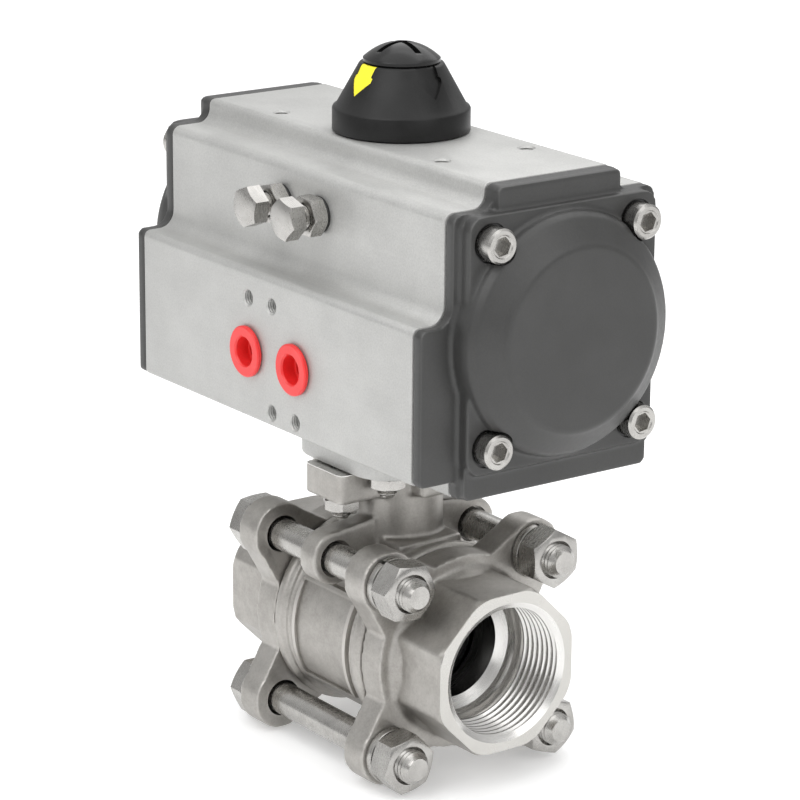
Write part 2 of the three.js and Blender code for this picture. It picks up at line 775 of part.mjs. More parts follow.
function valveBody() {
  const boltZ = pipeAxisZ + boltHalfSpacing;
  const lugs = [-1, 1].map((side) => prism(
    lugOutline(side), 'x', side < 0 ? -lugShort : -lugLong, side < 0 ? lugLong : lugShort, smallSides,
  ));
  const neck = turned([
    [0, pipeAxisZ + 24.6], [17, pipeAxisZ + 24.6], [17, pipeAxisZ + 29], [14.4, pipeAxisZ + 31.5],
    [neckRadius, pipeAxisZ + 35], [neckRadius, padTopZ - 0.2], [neckRadius - 0.2, padTopZ],
    [0, padTopZ], [0, pipeAxisZ + 24.6],
  ], 'z', onStem, fineSides);
  const saddle = prism(roundedRectangle(15.5, 17, 3), 'z', pipeAxisZ + 22, pipeAxisZ + 31.2);
  const outside = join(bodyBarrel(), ...lugs, neck, saddle, earCross(earPadBottomZ, padTopZ), namePanel());
  const boltHoles = [-1, 1].map((side) => bar(
    boltHoleRadius, 'x', -8, 8, [0, side * boltHalfSpacing, boltZ], boltSides,
  ));
  const earHoles = onMountCircle(false).map(([x, y]) => bar(
    m6HoleRadius, 'z', earPadBottomZ - 1, padTopZ + 1, [x, y, 0], smallSides,
  ));
  return cut(
    outside, ...boltHoles, ...earHoles,
    bar(cavityRadius, 'x', -20, 20, [0, 0, pipeAxisZ], fineSides),
    bar(9.7, 'z', pipeAxisZ, pipeAxisZ + 28.2, onStem, roundSides),
    bar(stemHoleRadius, 'z', pipeAxisZ, padTopZ + 1, onStem, roundSides),
    bar(10.5, 'z', 74, padTopZ + 1, onStem, roundSides),
  );
}

// --- End caps of the valve ---------------------------------------------------------------

function boltPlate() {
  const diagonal = Math.hypot(boltHalfSpacing, boltHalfSpacing);
  const at = [0, 0, pipeAxisZ];
  const waist = bar(waistRadius, 'x', plateStartX, plateEndX, at, fineSides);
  const arms = [1, 3].map((n) => {
    const geometry = new THREE.BoxGeometry(plateEndX - plateStartX, 2 * diagonal, 2 * earRadius);
    geometry.rotateX(n * tau / 8);
    geometry.translate((plateStartX + plateEndX) / 2, 0, pipeAxisZ);
    return toManifold(geometry);
  });
  const ears = fourWays(boltHalfSpacing, boltHalfSpacing).map(([y, rise]) => bar(
    earRadius, 'x', plateStartX, plateEndX, [0, y, pipeAxisZ + rise], roundSides,
  ));
  return join(waist, ...arms, ...ears);
}

function endCap() {
  const at = [0, 0, pipeAxisZ];
  const cornerRadius = octagonApothem / Math.cos(tau / 16);
  const octagon = bar(cornerRadius, 'x', plateEndX - 2, pipeEndX, at, 8, tau / 16);
  const turnedCorners = turned([
    [0, plateEndX - 2], [30, plateEndX - 2], [30, pipeEndX - 4.5], [24.7, pipeEndX], [0, pipeEndX],
    [0, plateEndX - 2],
  ], 'x', at, fineSides);
  const spigot = bar(cavityRadius - gap, 'x', 20, plateStartX + 1, at, fineSides);
  const flowPath = turned([
    [0, 19], [flowRadius, 19], [flowRadius, 28.6], [stepRadius, 30.2], [stepRadius, 33.6],
    [reliefRadius, 34], [reliefRadius, 36.6], [threadRadius, 37.4], [threadRadius, pipeEndX - 1.4],
    [threadRadius + 1.2, pipeEndX], [threadRadius + 1.2, pipeEndX + 1], [0, pipeEndX + 1], [0, 19],
  ], 'x', at, fineSides);
  const boltHoles = fourWays(boltHalfSpacing, boltHalfSpacing).map(([y, rise]) => bar(
    boltHoleRadius, 'x', plateStartX - 1, plateEndX + 1, [0, y, pipeAxisZ + rise], boltSides,
  ));
  return cut(join(boltPlate(), octagon.intersect(turnedCorners), spigot), flowPath, ...boltHoles);
}

// --- Bolts of the valve ------------------------------------------------------------------

const headHeight = 6.4;
const nutHeight = 8.4;
const nutSeatX = plateEndX + 2.6;
const boltEndX = 47.3;

function bodyBolt(y, rise) {
  const at = [0, y, pipeAxisZ + rise];
  const seat = -plateEndX - gap;
  const head = hexagon(16, 'x', seat - headHeight, seat, at);
  const shank = bar(boltRadius, 'x', seat - 1, boltEndX, at, boltSides);
  return join(head, shank);
}

function bodyNut(y, rise) {
  const at = [0, y, pipeAxisZ + rise];
  const nut = hexagon(16, 'x', nutSeatX, nutSeatX + nutHeight, at);
  return cut(nut, bar(boltRadius + gap, 'x', nutSeatX - 1, nutSeatX + nutHeight + 1, at, boltSides));
}

// A stud with its nut run up against the piece it holds
function studWithNut(x, y, stubZ, holdZ, topEnd) {
  const nutTop = holdZ - gap;
  const nut = hexagon(10, 'z', nutTop - studNutHeight, nutTop, [x, y, 0]);
  return join(nut, bar(m6Radius - 0.1, 'z', stubZ, topEnd, [x, y, 0], smallSides));
}

function adapterPlate() {
  const outline = roundedRectangle(24.5, 24.5, 13);
  const plate = prism(outline, 'z', padTopZ + gap, padTopZ + gap + plateThickness, 8);
  const bottom = padTopZ - 1;
  const holes = [true, false].flatMap(onMountCircle).map(([x, y]) => bar(
    m6HoleRadius, 'z', bottom, baseZ + 1, [x, y, 0], smallSides,
  ));
  return cut(plate, bar(14.2, 'z', bottom, baseZ + 1, onStem, roundSides), ...holes);
}

// --- Ball, stem and seals ----------------------------------------------------------------

function closureBall() {
  const at = [0, 0, pipeAxisZ];
  const slot = block(-16, 16, -3.3, 3.3, pipeAxisZ + 19, pipeAxisZ + 24);
  return cut(ball(ballRadius, at), bar(flowRadius, 'y', -25, 25, at, fineSides), slot);
}

function sealSeat() {
  const at = [0, 0, pipeAxisZ];
  const outer = cavityRadius - 0.4;
  return turned([
    [16.2, 19.7], [outer, 19.7], [outer, 14.6], [18.6, 14.6], [16.2, 17.2], [16.2, 19.7],
  ], 'x', at);
}

function stem() {
  const half = stemSquare / 2;
  const tang = block(-8, 8, -3, 3, pipeAxisZ + 19.4, pipeAxisZ + 25);
  const shaft = turned([
    [0, pipeAxisZ + 24.4], [9.3, pipeAxisZ + 24.4], [9.3, pipeAxisZ + 26.8], [stemRadius, pipeAxisZ + 26.8],
    [stemRadius, 98.5], [0, 98.5], [0, pipeAxisZ + 24.4],
  ], 'z', onStem, roundSides);
  return join(tang.intersect(bar(8.6, 'z', 50, 70, onStem, roundSides)), shaft,
    block(-half, half, -half, half, 98, baseZ + 17));
}

function addValve() {
  addPiece('valve_body', valveBody(), 'castSteel');
  addTurnedPair('end_cap_right', 'end_cap_left', endCap(), 'castSteel');
  const gasket = ring(24.3, 26.8, 'x', 20.8, 22.5, [0, 0, pipeAxisZ]);
  addPiece('ball', closureBall(), 'brightSteel');
  addPiece('valve_stem', stem(), 'brightSteel');
  addTurnedPair('seat_ring_right', 'seat_ring_left', sealSeat(), 'whitePolymer');
  addTurnedPair('body_gasket_right', 'body_gasket_left', gasket, 'whitePolymer');
  addStemParts();
}

// The washer, packing and springs stacked round the stem, from the bottom up
function addStemParts() {
  const inner = stemRadius + gap;
  const washer = ring(inner, 9.4, 'z', pipeAxisZ + 27.1, pipeAxisZ + 27.9, onStem, roundSides);
  addPiece('thrust_washer', washer, 'whitePolymer');
  addPiece('stem_packing', ring(inner, 10.2, 'z', 74.3, 81.4, onStem, roundSides), 'whitePolymer');
  addPiece('gland_ring', ring(inner, 10.2, 'z', 81.7, 84.6, onStem, roundSides), 'brightSteel');
  const springProfile = [[inner, 85.2], [10, 84.9], [10, 86.2], [inner, 86.9], [inner, 85.2]];
  addPiece('disc_spring', turned(springProfile, 'z', onStem, roundSides), 'brightSteel');
  const hexPart = hexagon(19, 'z', 89.8, 96, onStem);
  const nutHole = bar(inner, 'z', 87, 99, onStem, roundSides);
  const collar = ring(inner, 10, 'z', 87.2, 90, onStem, roundSides);
  addPiece('stem_nut', join(cut(hexPart, nutHole), collar), 'brightSteel');
}

function addValveBolts() {
  fourWays(boltHalfSpacing, boltHalfSpacing).forEach(([y, rise], i) => {
    addPiece(`body_bolt_${i + 1}`, bodyBolt(y, rise), 'brightSteel');
    addPiece(`body_nut_${i + 1}`, bodyNut(y, rise), 'brightSteel');
  });
  addPiece('adapter_plate', adapterPlate(), 'anodised');
  onMountCircle(false).forEach(([x, y], i) => {
    const stud = studWithNut(x, y, earPadBottomZ - 6.8, earPadBottomZ, baseZ - 0.6);
    addPiece(`ear_stud_${i + 1}`, stud, 'brightSteel');
  });
  onMountCircle(true).forEach(([x, y], i) => {
    const hold = padTopZ + gap;
    const stud = studWithNut(x, y, hold - 6.8, hold, baseZ + 10);
    addPiece(`plate_stud_${i + 1}`, stud, 'brightSteel');
  });
}

addHousing();
addDrive();
addOutsideParts();
addValve();
addValveBolts();

export default valve;
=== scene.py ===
import math
from contextlib import contextmanager

import bmesh
import bpy
from mathutils import Matrix, Vector


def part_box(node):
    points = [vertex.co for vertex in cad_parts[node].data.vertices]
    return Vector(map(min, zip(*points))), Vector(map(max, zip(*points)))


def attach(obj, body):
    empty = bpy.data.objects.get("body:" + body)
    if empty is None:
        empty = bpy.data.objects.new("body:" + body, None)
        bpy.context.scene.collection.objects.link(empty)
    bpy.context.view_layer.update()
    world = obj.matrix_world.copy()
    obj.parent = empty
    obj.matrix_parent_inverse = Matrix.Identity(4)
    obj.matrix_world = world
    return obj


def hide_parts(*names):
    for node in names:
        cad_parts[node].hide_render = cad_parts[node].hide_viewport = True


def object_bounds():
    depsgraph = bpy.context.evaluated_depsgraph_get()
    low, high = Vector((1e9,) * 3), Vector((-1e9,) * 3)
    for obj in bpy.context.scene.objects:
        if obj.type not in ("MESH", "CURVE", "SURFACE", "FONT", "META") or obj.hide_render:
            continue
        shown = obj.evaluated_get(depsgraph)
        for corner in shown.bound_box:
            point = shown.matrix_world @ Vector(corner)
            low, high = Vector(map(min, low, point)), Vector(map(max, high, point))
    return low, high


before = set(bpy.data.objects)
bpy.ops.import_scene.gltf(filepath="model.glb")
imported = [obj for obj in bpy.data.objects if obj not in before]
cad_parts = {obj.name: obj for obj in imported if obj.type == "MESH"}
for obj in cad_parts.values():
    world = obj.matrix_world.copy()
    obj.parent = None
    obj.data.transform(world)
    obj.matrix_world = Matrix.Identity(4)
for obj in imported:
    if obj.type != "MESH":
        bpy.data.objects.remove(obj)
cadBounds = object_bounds()
mm = 0.001  # sizes below are millimetres, and each call to Blender turns them into metres
tau = math.tau
planes = {"x": (1, 2), "y": (0, 2), "z": (0, 1)}  # the two directions across each axis


def nodeBox(node):
    low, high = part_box(node)
    return low / mm, high / mm


def middle(node):
    low, high = nodeBox(node)
    return (low + high) / 2


stemY = middle("seat_ring_right").y
pipeZ = middle("seat_ring_right").z
boreZ = middle("piston_seal_right").z
onStem = (0, stemY)
onPipe = (stemY, pipeZ)
onBore = (stemY, boreZ)


# Modelling

def activate(piece):
    bpy.ops.object.select_all(action="DESELECT")
    piece.select_set(True)
    bpy.context.view_layer.objects.active = piece


@contextmanager
def editing(piece):
    activate(piece)
    bpy.ops.object.mode_set(mode="EDIT")
    yield
    bpy.ops.object.mode_set(mode="OBJECT")


def settled(name):
    piece = bpy.context.object
    piece.name = piece.data.name = name
    activate(piece)
    bpy.ops.object.transform_apply(location=True, rotation=True, scale=True)
    return piece


def spot(axis, u, v, along):
    place = [0.0, 0.0, 0.0]
    place["xyz".index(axis)] = along * mm
    place[planes[axis][0]], place[planes[axis][1]] = u * mm, v * mm
    return Vector(place)


def block(name, low, high):
    bpy.ops.object.select_all(action="DESELECT")
    centre = [(a + b) / 2 * mm for a, b in zip(low, high)]
    size = [(b - a) * mm for a, b in zip(low, high)]
    bpy.ops.mesh.primitive_cube_add(size=1, location=centre, scale=size)
    return settled(name)


def rod(name, radius, axis, start, end, at, sides=48, turn=0):
    bpy.ops.object.select_all(action="DESELECT")
    tilt = {"x": (0, tau / 4, 0), "y": (tau / 4, 0, 0), "z": (0, 0, 0)}[axis]
    centre = spot(axis, at[0], at[1], (start + end) / 2)
    bpy.ops.mesh.primitive_cylinder_add(
        vertices=sides, radius=radius * mm, depth=abs(end - start) * mm, location=centre, rotation=tilt)
    piece = settled(name)
    spin = Matrix.Rotation(math.radians(turn), 4, axis.upper())
    piece.data.transform(Matrix.Translation(centre) @ spin @ Matrix.Translation(-centre))
    return piece


def chain(name, places):
    bpy.ops.object.select_all(action="DESELECT")
    bpy.ops.mesh.primitive_plane_add(size=mm, location=places[0])
    piece = settled(name)
    with editing(piece):
        bpy.ops.mesh.select_all(action="SELECT")
        bpy.ops.mesh.merge(type="CENTER")
        for before, after in zip(places, places[1:]):
            bpy.ops.mesh.extrude_vertices_move(TRANSFORM_OT_translate={"value": after - before})
    return piece


def selectVertices(piece, isWanted):
    bpy.ops.mesh.select_mode(type="VERT")
    bpy.ops.mesh.select_all(action="DESELECT")
    mesh = bmesh.from_edit_mesh(piece.data)
    for vertex in mesh.verts:
        vertex.select = isWanted(vertex.co)
    mesh.select_flush(True)
    bmesh.update_edit_mesh(piece.data)


# An outline of (u, v, corner radius) pushed along an axis
def prism(name, corners, axis, start, end, arcSteps=6):
    places = [spot(axis, u, v, start) for u, v, radius in corners]
    piece = chain(name, places + places[:1])
    with editing(piece):
        bpy.ops.mesh.select_all(action="SELECT")
        bpy.ops.mesh.remove_doubles(threshold=0.001 * mm)
        bpy.ops.mesh.select_all(action="SELECT")
        bpy.ops.mesh.edge_face_add()
        for place, (u, v, radius) in zip(places, corners):
            if radius:
                selectVertices(piece, lambda co: (co - place).length < 0.01 * mm)
                bpy.ops.mesh.bevel(offset=radius * mm, segments=arcSteps, affect="VERTICES")
        bpy.ops.mesh.select_all(action="SELECT")
        push = spot(axis, 0, 0, end - start)
        bpy.ops.mesh.extrude_region_move(TRANSFORM_OT_translate={"value": push})
        bpy.ops.mesh.select_all(action="SELECT")
        bpy.ops.mesh.normals_make_consistent(inside=False)
    return piece


def roundedRectangle(centre, halfU, halfV, radius):
    u, v = centre
    return [(u + halfU, v - halfV, radius), (u + halfU, v + halfV, radius),
            (u - halfU, v + halfV, radius), (u - halfU, v - halfV, radius)]


# A profile of (radius, place along the axis) spun about the axis
def spun(name, profile, axis, at, steps=96):
    piece = chain(name, [spot(axis, at[0] + radius, at[1], along) for radius, along in profile])
    with editing(piece):
        bpy.ops.mesh.select_all(action="SELECT")
        bpy.ops.mesh.remove_doubles(threshold=0.001 * mm)
        bpy.ops.mesh.select_all(action="SELECT")
        bpy.ops.mesh.spin(
            steps=steps, angle=tau, center=spot(axis, at[0], at[1], 0), axis=spot(axis, 0, 0, 1 / mm))
        bpy.ops.mesh.select_all(action="SELECT")
        bpy.ops.mesh.remove_doubles(threshold=0.002 * mm)
        bpy.ops.mesh.select_all(action="SELECT")
        bpy.ops.mesh.normals_make_consistent(inside=False)
    return piece


def applied(piece, kind, **settings):
    step = piece.modifiers.new(kind.lower(), kind)
    for key, value in settings.items():
        setattr(step, key, value)
    activate(piece)
    bpy.ops.object.modifier_apply(modifier=step.name)
    return piece


def combined(piece, operation, others):
    for other in others:
        applied(piece, "BOOLEAN", operation=operation, object=other, solver="MANIFOLD")
        bpy.data.objects.remove(other)
    return piece


def cut(piece, *tools):
    return combined(piece, "DIFFERENCE", tools)


def join(piece, *others):
    return combined(piece, "UNION", others)


def common(piece, *others):
    return combined(piece, "INTERSECT", others)


def gathered(name, parts):  # separate shells kept in one mesh
    bpy.ops.object.select_all(action="DESELECT")
    for part in parts:
        part.select_set(True)
    bpy.context.view_layer.objects.active = parts[0]
    bpy.ops.object.join()
    parts[0].name = parts[0].data.name = name
    return parts[0]


def soften(piece, width, isWanted, steps=3):  # bevels the edges whose ends both pass the test
    with editing(piece):
        selectVertices(piece, isWanted)
        bpy.ops.mesh.bevel(offset=width * mm, segments=steps, affect="EDGES")
    return piece


def asCasting(piece, voxel, passes):  # joins rough shapes into one skin with run-out corners
    applied(piece, "REMESH", mode="VOXEL", voxel_size=voxel * mm, use_smooth_shade=True)
    return applied(piece, "SMOOTH", factor=0.5, iterations=passes)


def copied(piece, name, move):
    twin = piece.copy()
    twin.data = piece.data.copy()
    twin.name = twin.data.name = name
    bpy.context.collection.objects.link(twin)
    twin.data.transform(move)
    if move.determinant() < 0:
        twin.data.flip_normals()
    return twin


def halfTurn():
    pivot = Vector((0, stemY * mm, 0))
    return Matrix.Translation(pivot) @ Matrix.Rotation(tau / 2, 4, "Z") @ Matrix.Translation(-pivot)


def acrossStem():
    return Matrix.Scale(-1, 4, Vector((1, 0, 0)))


def shift(x, y, z):
    return Matrix.Translation(Vector((x, y, z)) * mm)


def dressed(piece, body, finish, nodes=(), smoothAngle=32):
    piece.data.materials.clear()
    piece.data.materials.append(finish)
    activate(piece)
    bpy.ops.object.shade_smooth_by_angle(angle=math.radians(smoothAngle))
    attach(piece, body)
    if nodes:
        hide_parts(*nodes)
    return piece


# Finishes

class Wire:
    def __init__(self, finish, socket):
        self.finish = finish
        self.socket = socket

    def sum(self, operation, first, second=0.0):
        return self.finish.node("ShaderNodeMath", {"operation": operation}, {0: first, 1: second})

    def __add__(self, other):
        return self.sum("ADD", self, other)

    def __radd__(self, other):
        return self.sum("ADD", other, self)

    def __sub__(self, other):
        return self.sum("SUBTRACT", self, other)

    def __rsub__(self, other):
        return self.sum("SUBTRACT", other, self)

    def __mul__(self, other):
        return self.sum("MULTIPLY", self, other)

    def __rmul__(self, other):
        return self.sum("MULTIPLY", other, self)

    def __pow__(self, other):
        return self.sum("POWER", self, other)

    def __abs__(self):
        return self.sum("ABSOLUTE", self)

    def above(self, limit):
        return self.sum("GREATER_THAN", self, limit)

    def below(self, limit):
        return self.sum("LESS_THAN", self, limit)

    def spread(self, low, high, toLow=0.0, toHigh=1.0):
        return self.finish.node(
            "ShaderNodeMapRange", {"interpolation_type": "SMOOTHSTEP"},
            {"Value": self, "From Min": low, "From Max": high, "To Min": toLow, "To Max": toHigh})


class Finish:
    def __init__(self, name, **constants):
        self.material = bpy.data.materials.new(name)
        self.material.use_nodes = True
        self.nodes = self.material.node_tree.nodes
        self.links = self.material.node_tree.links
        self.shader = self.nodes["Principled BSDF"]
        self.place = self.node("ShaderNodeTexCoord", output="Object")
        for key, value in constants.items():
            self.shader.inputs[key.replace("_", " ")].default_value = value

    def node(self, kind, settings=None, sockets=None, output=0):
        made = self.nodes.new(kind)
        for key, value in (settings or {}).items():
            setattr(made, key, value)
        for key, value in (sockets or {}).items():
            if isinstance(value, Wire):
                self.links.new(value.socket, made.inputs[key])
            else:
                made.inputs[key].default_value = value
        return Wire(self, made.outputs[output])

    def noise(self, size, detail=3.0, roughness=0.6, stretch=None):
        place = self.place
        if stretch:
            place = self.node("ShaderNodeMapping", None, {"Vector": place, "Scale": stretch})
        return self.node("ShaderNodeTexNoise", None, {
            "Vector": place, "Scale": 1 / (size * mm), "Detail": detail, "Roughness": roughness})

    def along(self, axis):  # distance along an axis in millimetres
        return self.node("ShaderNodeSeparateXYZ", None, {0: self.place}, axis.upper()) * (1 / mm)

    def radius(self, axis, at):  # distance from a line along an axis in millimetres
        first, second = ("xyz"[i] for i in planes[axis])
        return ((self.along(first) - at[0]) ** 2 + (self.along(second) - at[1]) ** 2) ** 0.5

    def edges(self, low=0.52, high=0.6):
        pointiness = self.node("ShaderNodeNewGeometry", output="Pointiness")
        return pointiness.spread(low, high)

    def mix(self, factor, first, second):
        made = self.nodes.new("ShaderNodeMix")
        made.data_type = "RGBA"
        for index, value in ((0, factor), (6, first), (7, second)):
            if isinstance(value, Wire):
                self.links.new(value.socket, made.inputs[index])
            else:
                made.inputs[index].default_value = value if index == 0 else (*value, 1)
        return Wire(self, made.outputs[2])

    def send(self, **wires):
        for key, wire in wires.items():
            self.links.new(wire.socket, self.shader.inputs[key.replace("_", " ")])

    def bump(self, height, depth, strength=1.0):
        raised = self.node("ShaderNodeBump", None, {
            "Height": height, "Distance": depth * mm, "Strength": strength})
        self.send(Normal=raised)


def blastedAluminium():
    finish = Finish("blastedAluminium", Metallic=0.55, IOR=1.45)
    grain = finish.noise(0.55, 4, 0.7)
    cloud = finish.noise(16, 2)
    drawn = finish.noise(1.2, 2, stretch=(0.03, 1, 1))  # faint lines left along the extrusion
    tone = grain * 0.66 + cloud * 0.28 + drawn * 0.06
    finish.send(Base_Color=finish.mix(tone.spread(0.3, 0.7), (0.44, 0.44, 0.43), (0.58, 0.58, 0.565)))
    finish.send(Roughness=grain.spread(0.2, 0.8, 0.44, 0.6))
    finish.bump(grain, 0.05, 0.7)
    return finish.material


def coverCoating():
    finish = Finish("coverCoating", Metallic=0.15, Coat_Weight=0.12, Coat_Roughness=0.35)
    peel = finish.noise(1.4, 2)
    speck = finish.noise(0.5, 3, 0.7)
    cloud = finish.noise(22, 2)
    base = finish.mix((speck * 0.5 + cloud * 0.5).spread(0.3, 0.7), (0.038, 0.038, 0.037),
                      (0.051, 0.051, 0.05))
    finish.send(Base_Color=finish.mix(finish.edges() * 0.45, base, (0.17, 0.17, 0.166)))
    finish.send(Roughness=(peel * 0.5 + speck * 0.5).spread(0.25, 0.75, 0.36, 0.5))
    finish.bump(peel * 0.7 + speck * 0.3, 0.06, 0.6)
    return finish.material


def castSteelLook(finish, isMachined):
    grain = finish.noise(0.7, 4, 0.7)
    pits = finish.noise(2.6, 3)
    cloud = finish.noise(14, 2)
    tone = (grain * 0.4 + pits * 0.2 + cloud * 0.4).spread(0.32, 0.68)
    cast = finish.mix(tone, (0.33, 0.315, 0.295), (0.5, 0.485, 0.46))
    cast = finish.mix(finish.edges(0.51, 0.58) * 0.55, cast, (0.68, 0.66, 0.63))
    turning = finish.noise(0.9, 2, stretch=(1, 0.05, 0.05))
    bright = finish.mix(turning, (0.66, 0.65, 0.63), (0.82, 0.81, 0.79))
    finish.colour = finish.mix(isMachined, cast, bright)
    finish.send(Base_Color=finish.colour)
    rough = grain.spread(0.2, 0.8, 0.36, 0.54)
    finish.send(Roughness=rough - isMachined * (rough - turning.spread(0.2, 0.8, 0.16, 0.3)))
    finish.bump((grain * 0.6 + pits * 0.4) * (1 - isMachined) + turning * 0.1 * isMachined, 0.09, 0.8)


def castSteelBody():
    finish = Finish("castSteelBody", Metallic=0.9)
    flat = nodeBox("valve_body")[1].z - 0.3
    castSteelLook(finish, finish.along("z").above(flat))
    return finish.material


def castSteelEnd():
    finish = Finish("castSteelEnd", Metallic=0.9)
    face = nodeBox("end_cap_right")[1].x - 0.25
    depth = abs(finish.along("x"))
    inBore = finish.radius("x", onPipe).below(21.4)
    turned = depth.above(face)
    castSteelLook(finish, 1 - (1 - turned) * (1 - inBore))
    # The turned end face is toned down to 0.74. Deeper in the bore than 28.5 mm the colour is darkened to
    # 0.09, which is painted shade inside the hole.
    shade = finish.mix(turned * (1 - inBore), (1, 1, 1), (0.74, 0.735, 0.72))
    shade = finish.mix(inBore * depth.below(28.5), shade, (0.09, 0.09, 0.09))
    colour = finish.node("ShaderNodeVectorMath", {"operation": "MULTIPLY"}, {0: finish.colour, 1: shade})
    finish.send(Base_Color=colour)
    return finish.material


def turnedSteel(name, axis, light=(0.5, 0.49, 0.47), dark=(0.39, 0.38, 0.365), rough=0.25):
    finish = Finish(name, Metallic=1.0)
    grain = finish.noise(0.8, 3, 0.65)
    cloud = finish.noise(7, 2)
    stretch = {"x": (1, 0.08, 0.08), "y": (0.08, 1, 0.08), "z": (0.08, 0.08, 1)}[axis]
    brushed = finish.noise(0.5, 2, stretch=stretch)
    finish.send(Base_Color=finish.mix((grain * 0.3 + cloud * 0.7).spread(0.3, 0.7), dark, light))
    finish.send(Roughness=(brushed * 0.6 + grain * 0.4).spread(0.25, 0.75, rough - 0.02, rough + 0.07))
    finish.bump(brushed * 0.7 + grain * 0.3, 0.008, 0.35)
    return finish.material


def mouldedPlastic(name, light, dark, rough, grainDepth=0.02, shine=0.0, specular=0.5):
    finish = Finish(name, Coat_Weight=shine, Coat_Roughness=0.2, Specular_IOR_Level=specular)
    grain = finish.noise(0.45, 3, 0.7)
    cloud = finish.noise(9, 2)
    finish.send(Base_Color=finish.mix((grain * 0.4 + cloud * 0.6).spread(0.3, 0.7), dark, light))
    finish.send(Roughness=grain.spread(0.25, 0.75, rough - 0.05, rough + 0.07))
    finish.bump(grain, grainDepth, 0.6)
    return finish.material


print("finishes")
aluminium = blastedAluminium()
coating = coverCoating()
castBody = castSteelBody()
castEnd = castSteelEnd()
steelX = turnedSteel("boltSteel", "x")
steelY = turnedSteel("stopScrewSteel", "y")
steelZ = turnedSteel("studSteel", "z")
gearSteel = turnedSteel("gearSteel", "z", light=(0.52, 0.51, 0.5), dark=(0.42, 0.41, 0.4), rough=0.34)
ballSteel = turnedSteel("polishedBall", "x", light=(0.7, 0.7, 0.69), dark=(0.6, 0.6, 0.59), rough=0.14)
blackPlastic = mouldedPlastic("blackPlastic", (0.012, 0.012, 0.012), (0.006, 0.006, 0.006), 0.36,
                              specular=0.28)
knobPlastic = mouldedPlastic("knobPlastic", (0.011, 0.011, 0.011), (0.006, 0.006, 0.006), 0.2, 0.008,
                             specular=0.35)
yellowPlastic = mouldedPlastic("yellowPlastic", (0.98, 0.88, 0.03), (0.9, 0.78, 0.02), 0.45)
redPlastic = mouldedPlastic("redPlastic", (0.86, 0.035, 0.035), (0.76, 0.02, 0.02), 0.38, shine=0.2)
sealPolymer = mouldedPlastic("sealPolymer", (0.8, 0.79, 0.75), (0.7, 0.69, 0.65), 0.5)
blackRubber = mouldedPlastic("blackRubber", (0.02, 0.02, 0.02), (0.012, 0.012, 0.012), 0.6)


# Camera and lights

cameraView = {"azimuth": 53.96, "elevation": 16.49, "roll": 0.437, "distance": 1023.5, "side": 5.3,
              "lens": 155.3}
lightValues = {  # place round the part as azimuth, elevation, distance, then size and power
    "keyLight": (10, 48, 1.1, 0.9, 4),
    "capLight": (95, 34, 1.2, 0.8, 2.5),
    "backLight": (215, 50, 1.2, 1.0, 3),
    "topLight": (60, 86, 1.0, 1.1, 2.5),
}


skyGlow = (0.42, 0.95)  # at the horizon and overhead


def directions(azimuth, elevation, roll=0):
    a, e, r = (math.radians(value) for value in (azimuth, elevation, roll))
    back = Vector((math.sin(a) * math.cos(e), -math.cos(a) * math.cos(e), math.sin(e)))
    level = Vector((math.cos(a), math.sin(a), 0))
    upright = back.cross(level)
    right = level * math.cos(r) + upright * math.sin(r)
    up = upright * math.cos(r) - level * math.sin(r)
    return right, up, back


def aimed(item, place, right, up, back):
    turn = Matrix((right, up, back)).transposed().to_4x4()
    item.matrix_world = Matrix.Translation(place) @ turn


def makeCamera():
    look = cameraView
    centre = (cadBounds[0] + cadBounds[1]) / 2
    right, up, back = directions(look["azimuth"], look["elevation"], look["roll"])
    camera = bpy.data.objects.new("camera", bpy.data.cameras.new("camera"))
    bpy.context.collection.objects.link(camera)
    camera.data.lens = look["lens"]
    camera.data.clip_start, camera.data.clip_end = 0.05, 50
    aimed(camera, centre + back * look["distance"] * mm + right * look["side"] * mm, right, up, back)
    bpy.context.scene.camera = camera


def makeLights():
    centre = (cadBounds[0] + cadBounds[1]) / 2
    for name, (azimuth, elevation, distance, size, power) in lightValues.items():
        light = bpy.data.objects.new(name, bpy.data.lights.new(name, "AREA"))
        bpy.context.collection.objects.link(light)
        light.data.size = size
        light.data.energy = power
        right, up, back = directions(azimuth, elevation)
        aimed(light, centre + back * distance, right, up, back)


def makeStudio():
    world = bpy.data.worlds.new("studio")
    world.use_nodes = True
    nodes, links = world.node_tree.nodes, world.node_tree.links
    direction = nodes.new("ShaderNodeTexCoord")
    height = nodes.new("ShaderNodeSeparateXYZ")
    glow = nodes.new("ShaderNodeMapRange")
    glow.inputs["To Min"].default_value, glow.inputs["To Max"].default_value = skyGlow
    nodes["Background"].inputs["Color"].default_value = (1, 1, 1, 1)
    links.new(direction.outputs["Generated"], height.inputs[0])
    links.new(height.outputs["Z"], glow.inputs["Value"])
    links.new(glow.outputs[0], nodes["Background"].inputs["Strength"])
    bpy.context.scene.world = world
    bpy.ops.object.select_all(action="DESELECT")
    bpy.ops.mesh.primitive_plane_add(size=8, location=(0, 0, cadBounds[0].z - 0.0005))
    floor = settled("floor")
    paper = Finish("palePaper", Roughness=0.8, Emission_Color=(1, 1, 1, 1), Emission_Strength=0.3)
    paper.send(Base_Color=paper.mix(paper.noise(30, 2), (0.86, 0.86, 0.86), (0.88, 0.88, 0.88)))
    floor.data.materials.append(paper.material)
    bpy.context.scene.view_settings.view_transform = "Standard"


print("camera and lights")
makeCamera()
makeLights()
makeStudio()


# Actuator housing

housingLook = {
    "footHalf": 33, "footHeight": 5.4, "wingReach": 10.5, "wingTop": 50.4, "topStep": 6.8, "topHalf": 22,
    "pistonBore": 31.5, "portSpacing": 24, "portRadius": 5.9, "portDepth": 16, "screwRise": 16,
    "smallHole": 2.2, "smallDepth": 8, "accessory": (40, 15), "stopHole": 3.7, "endBreak": 0.35,
}


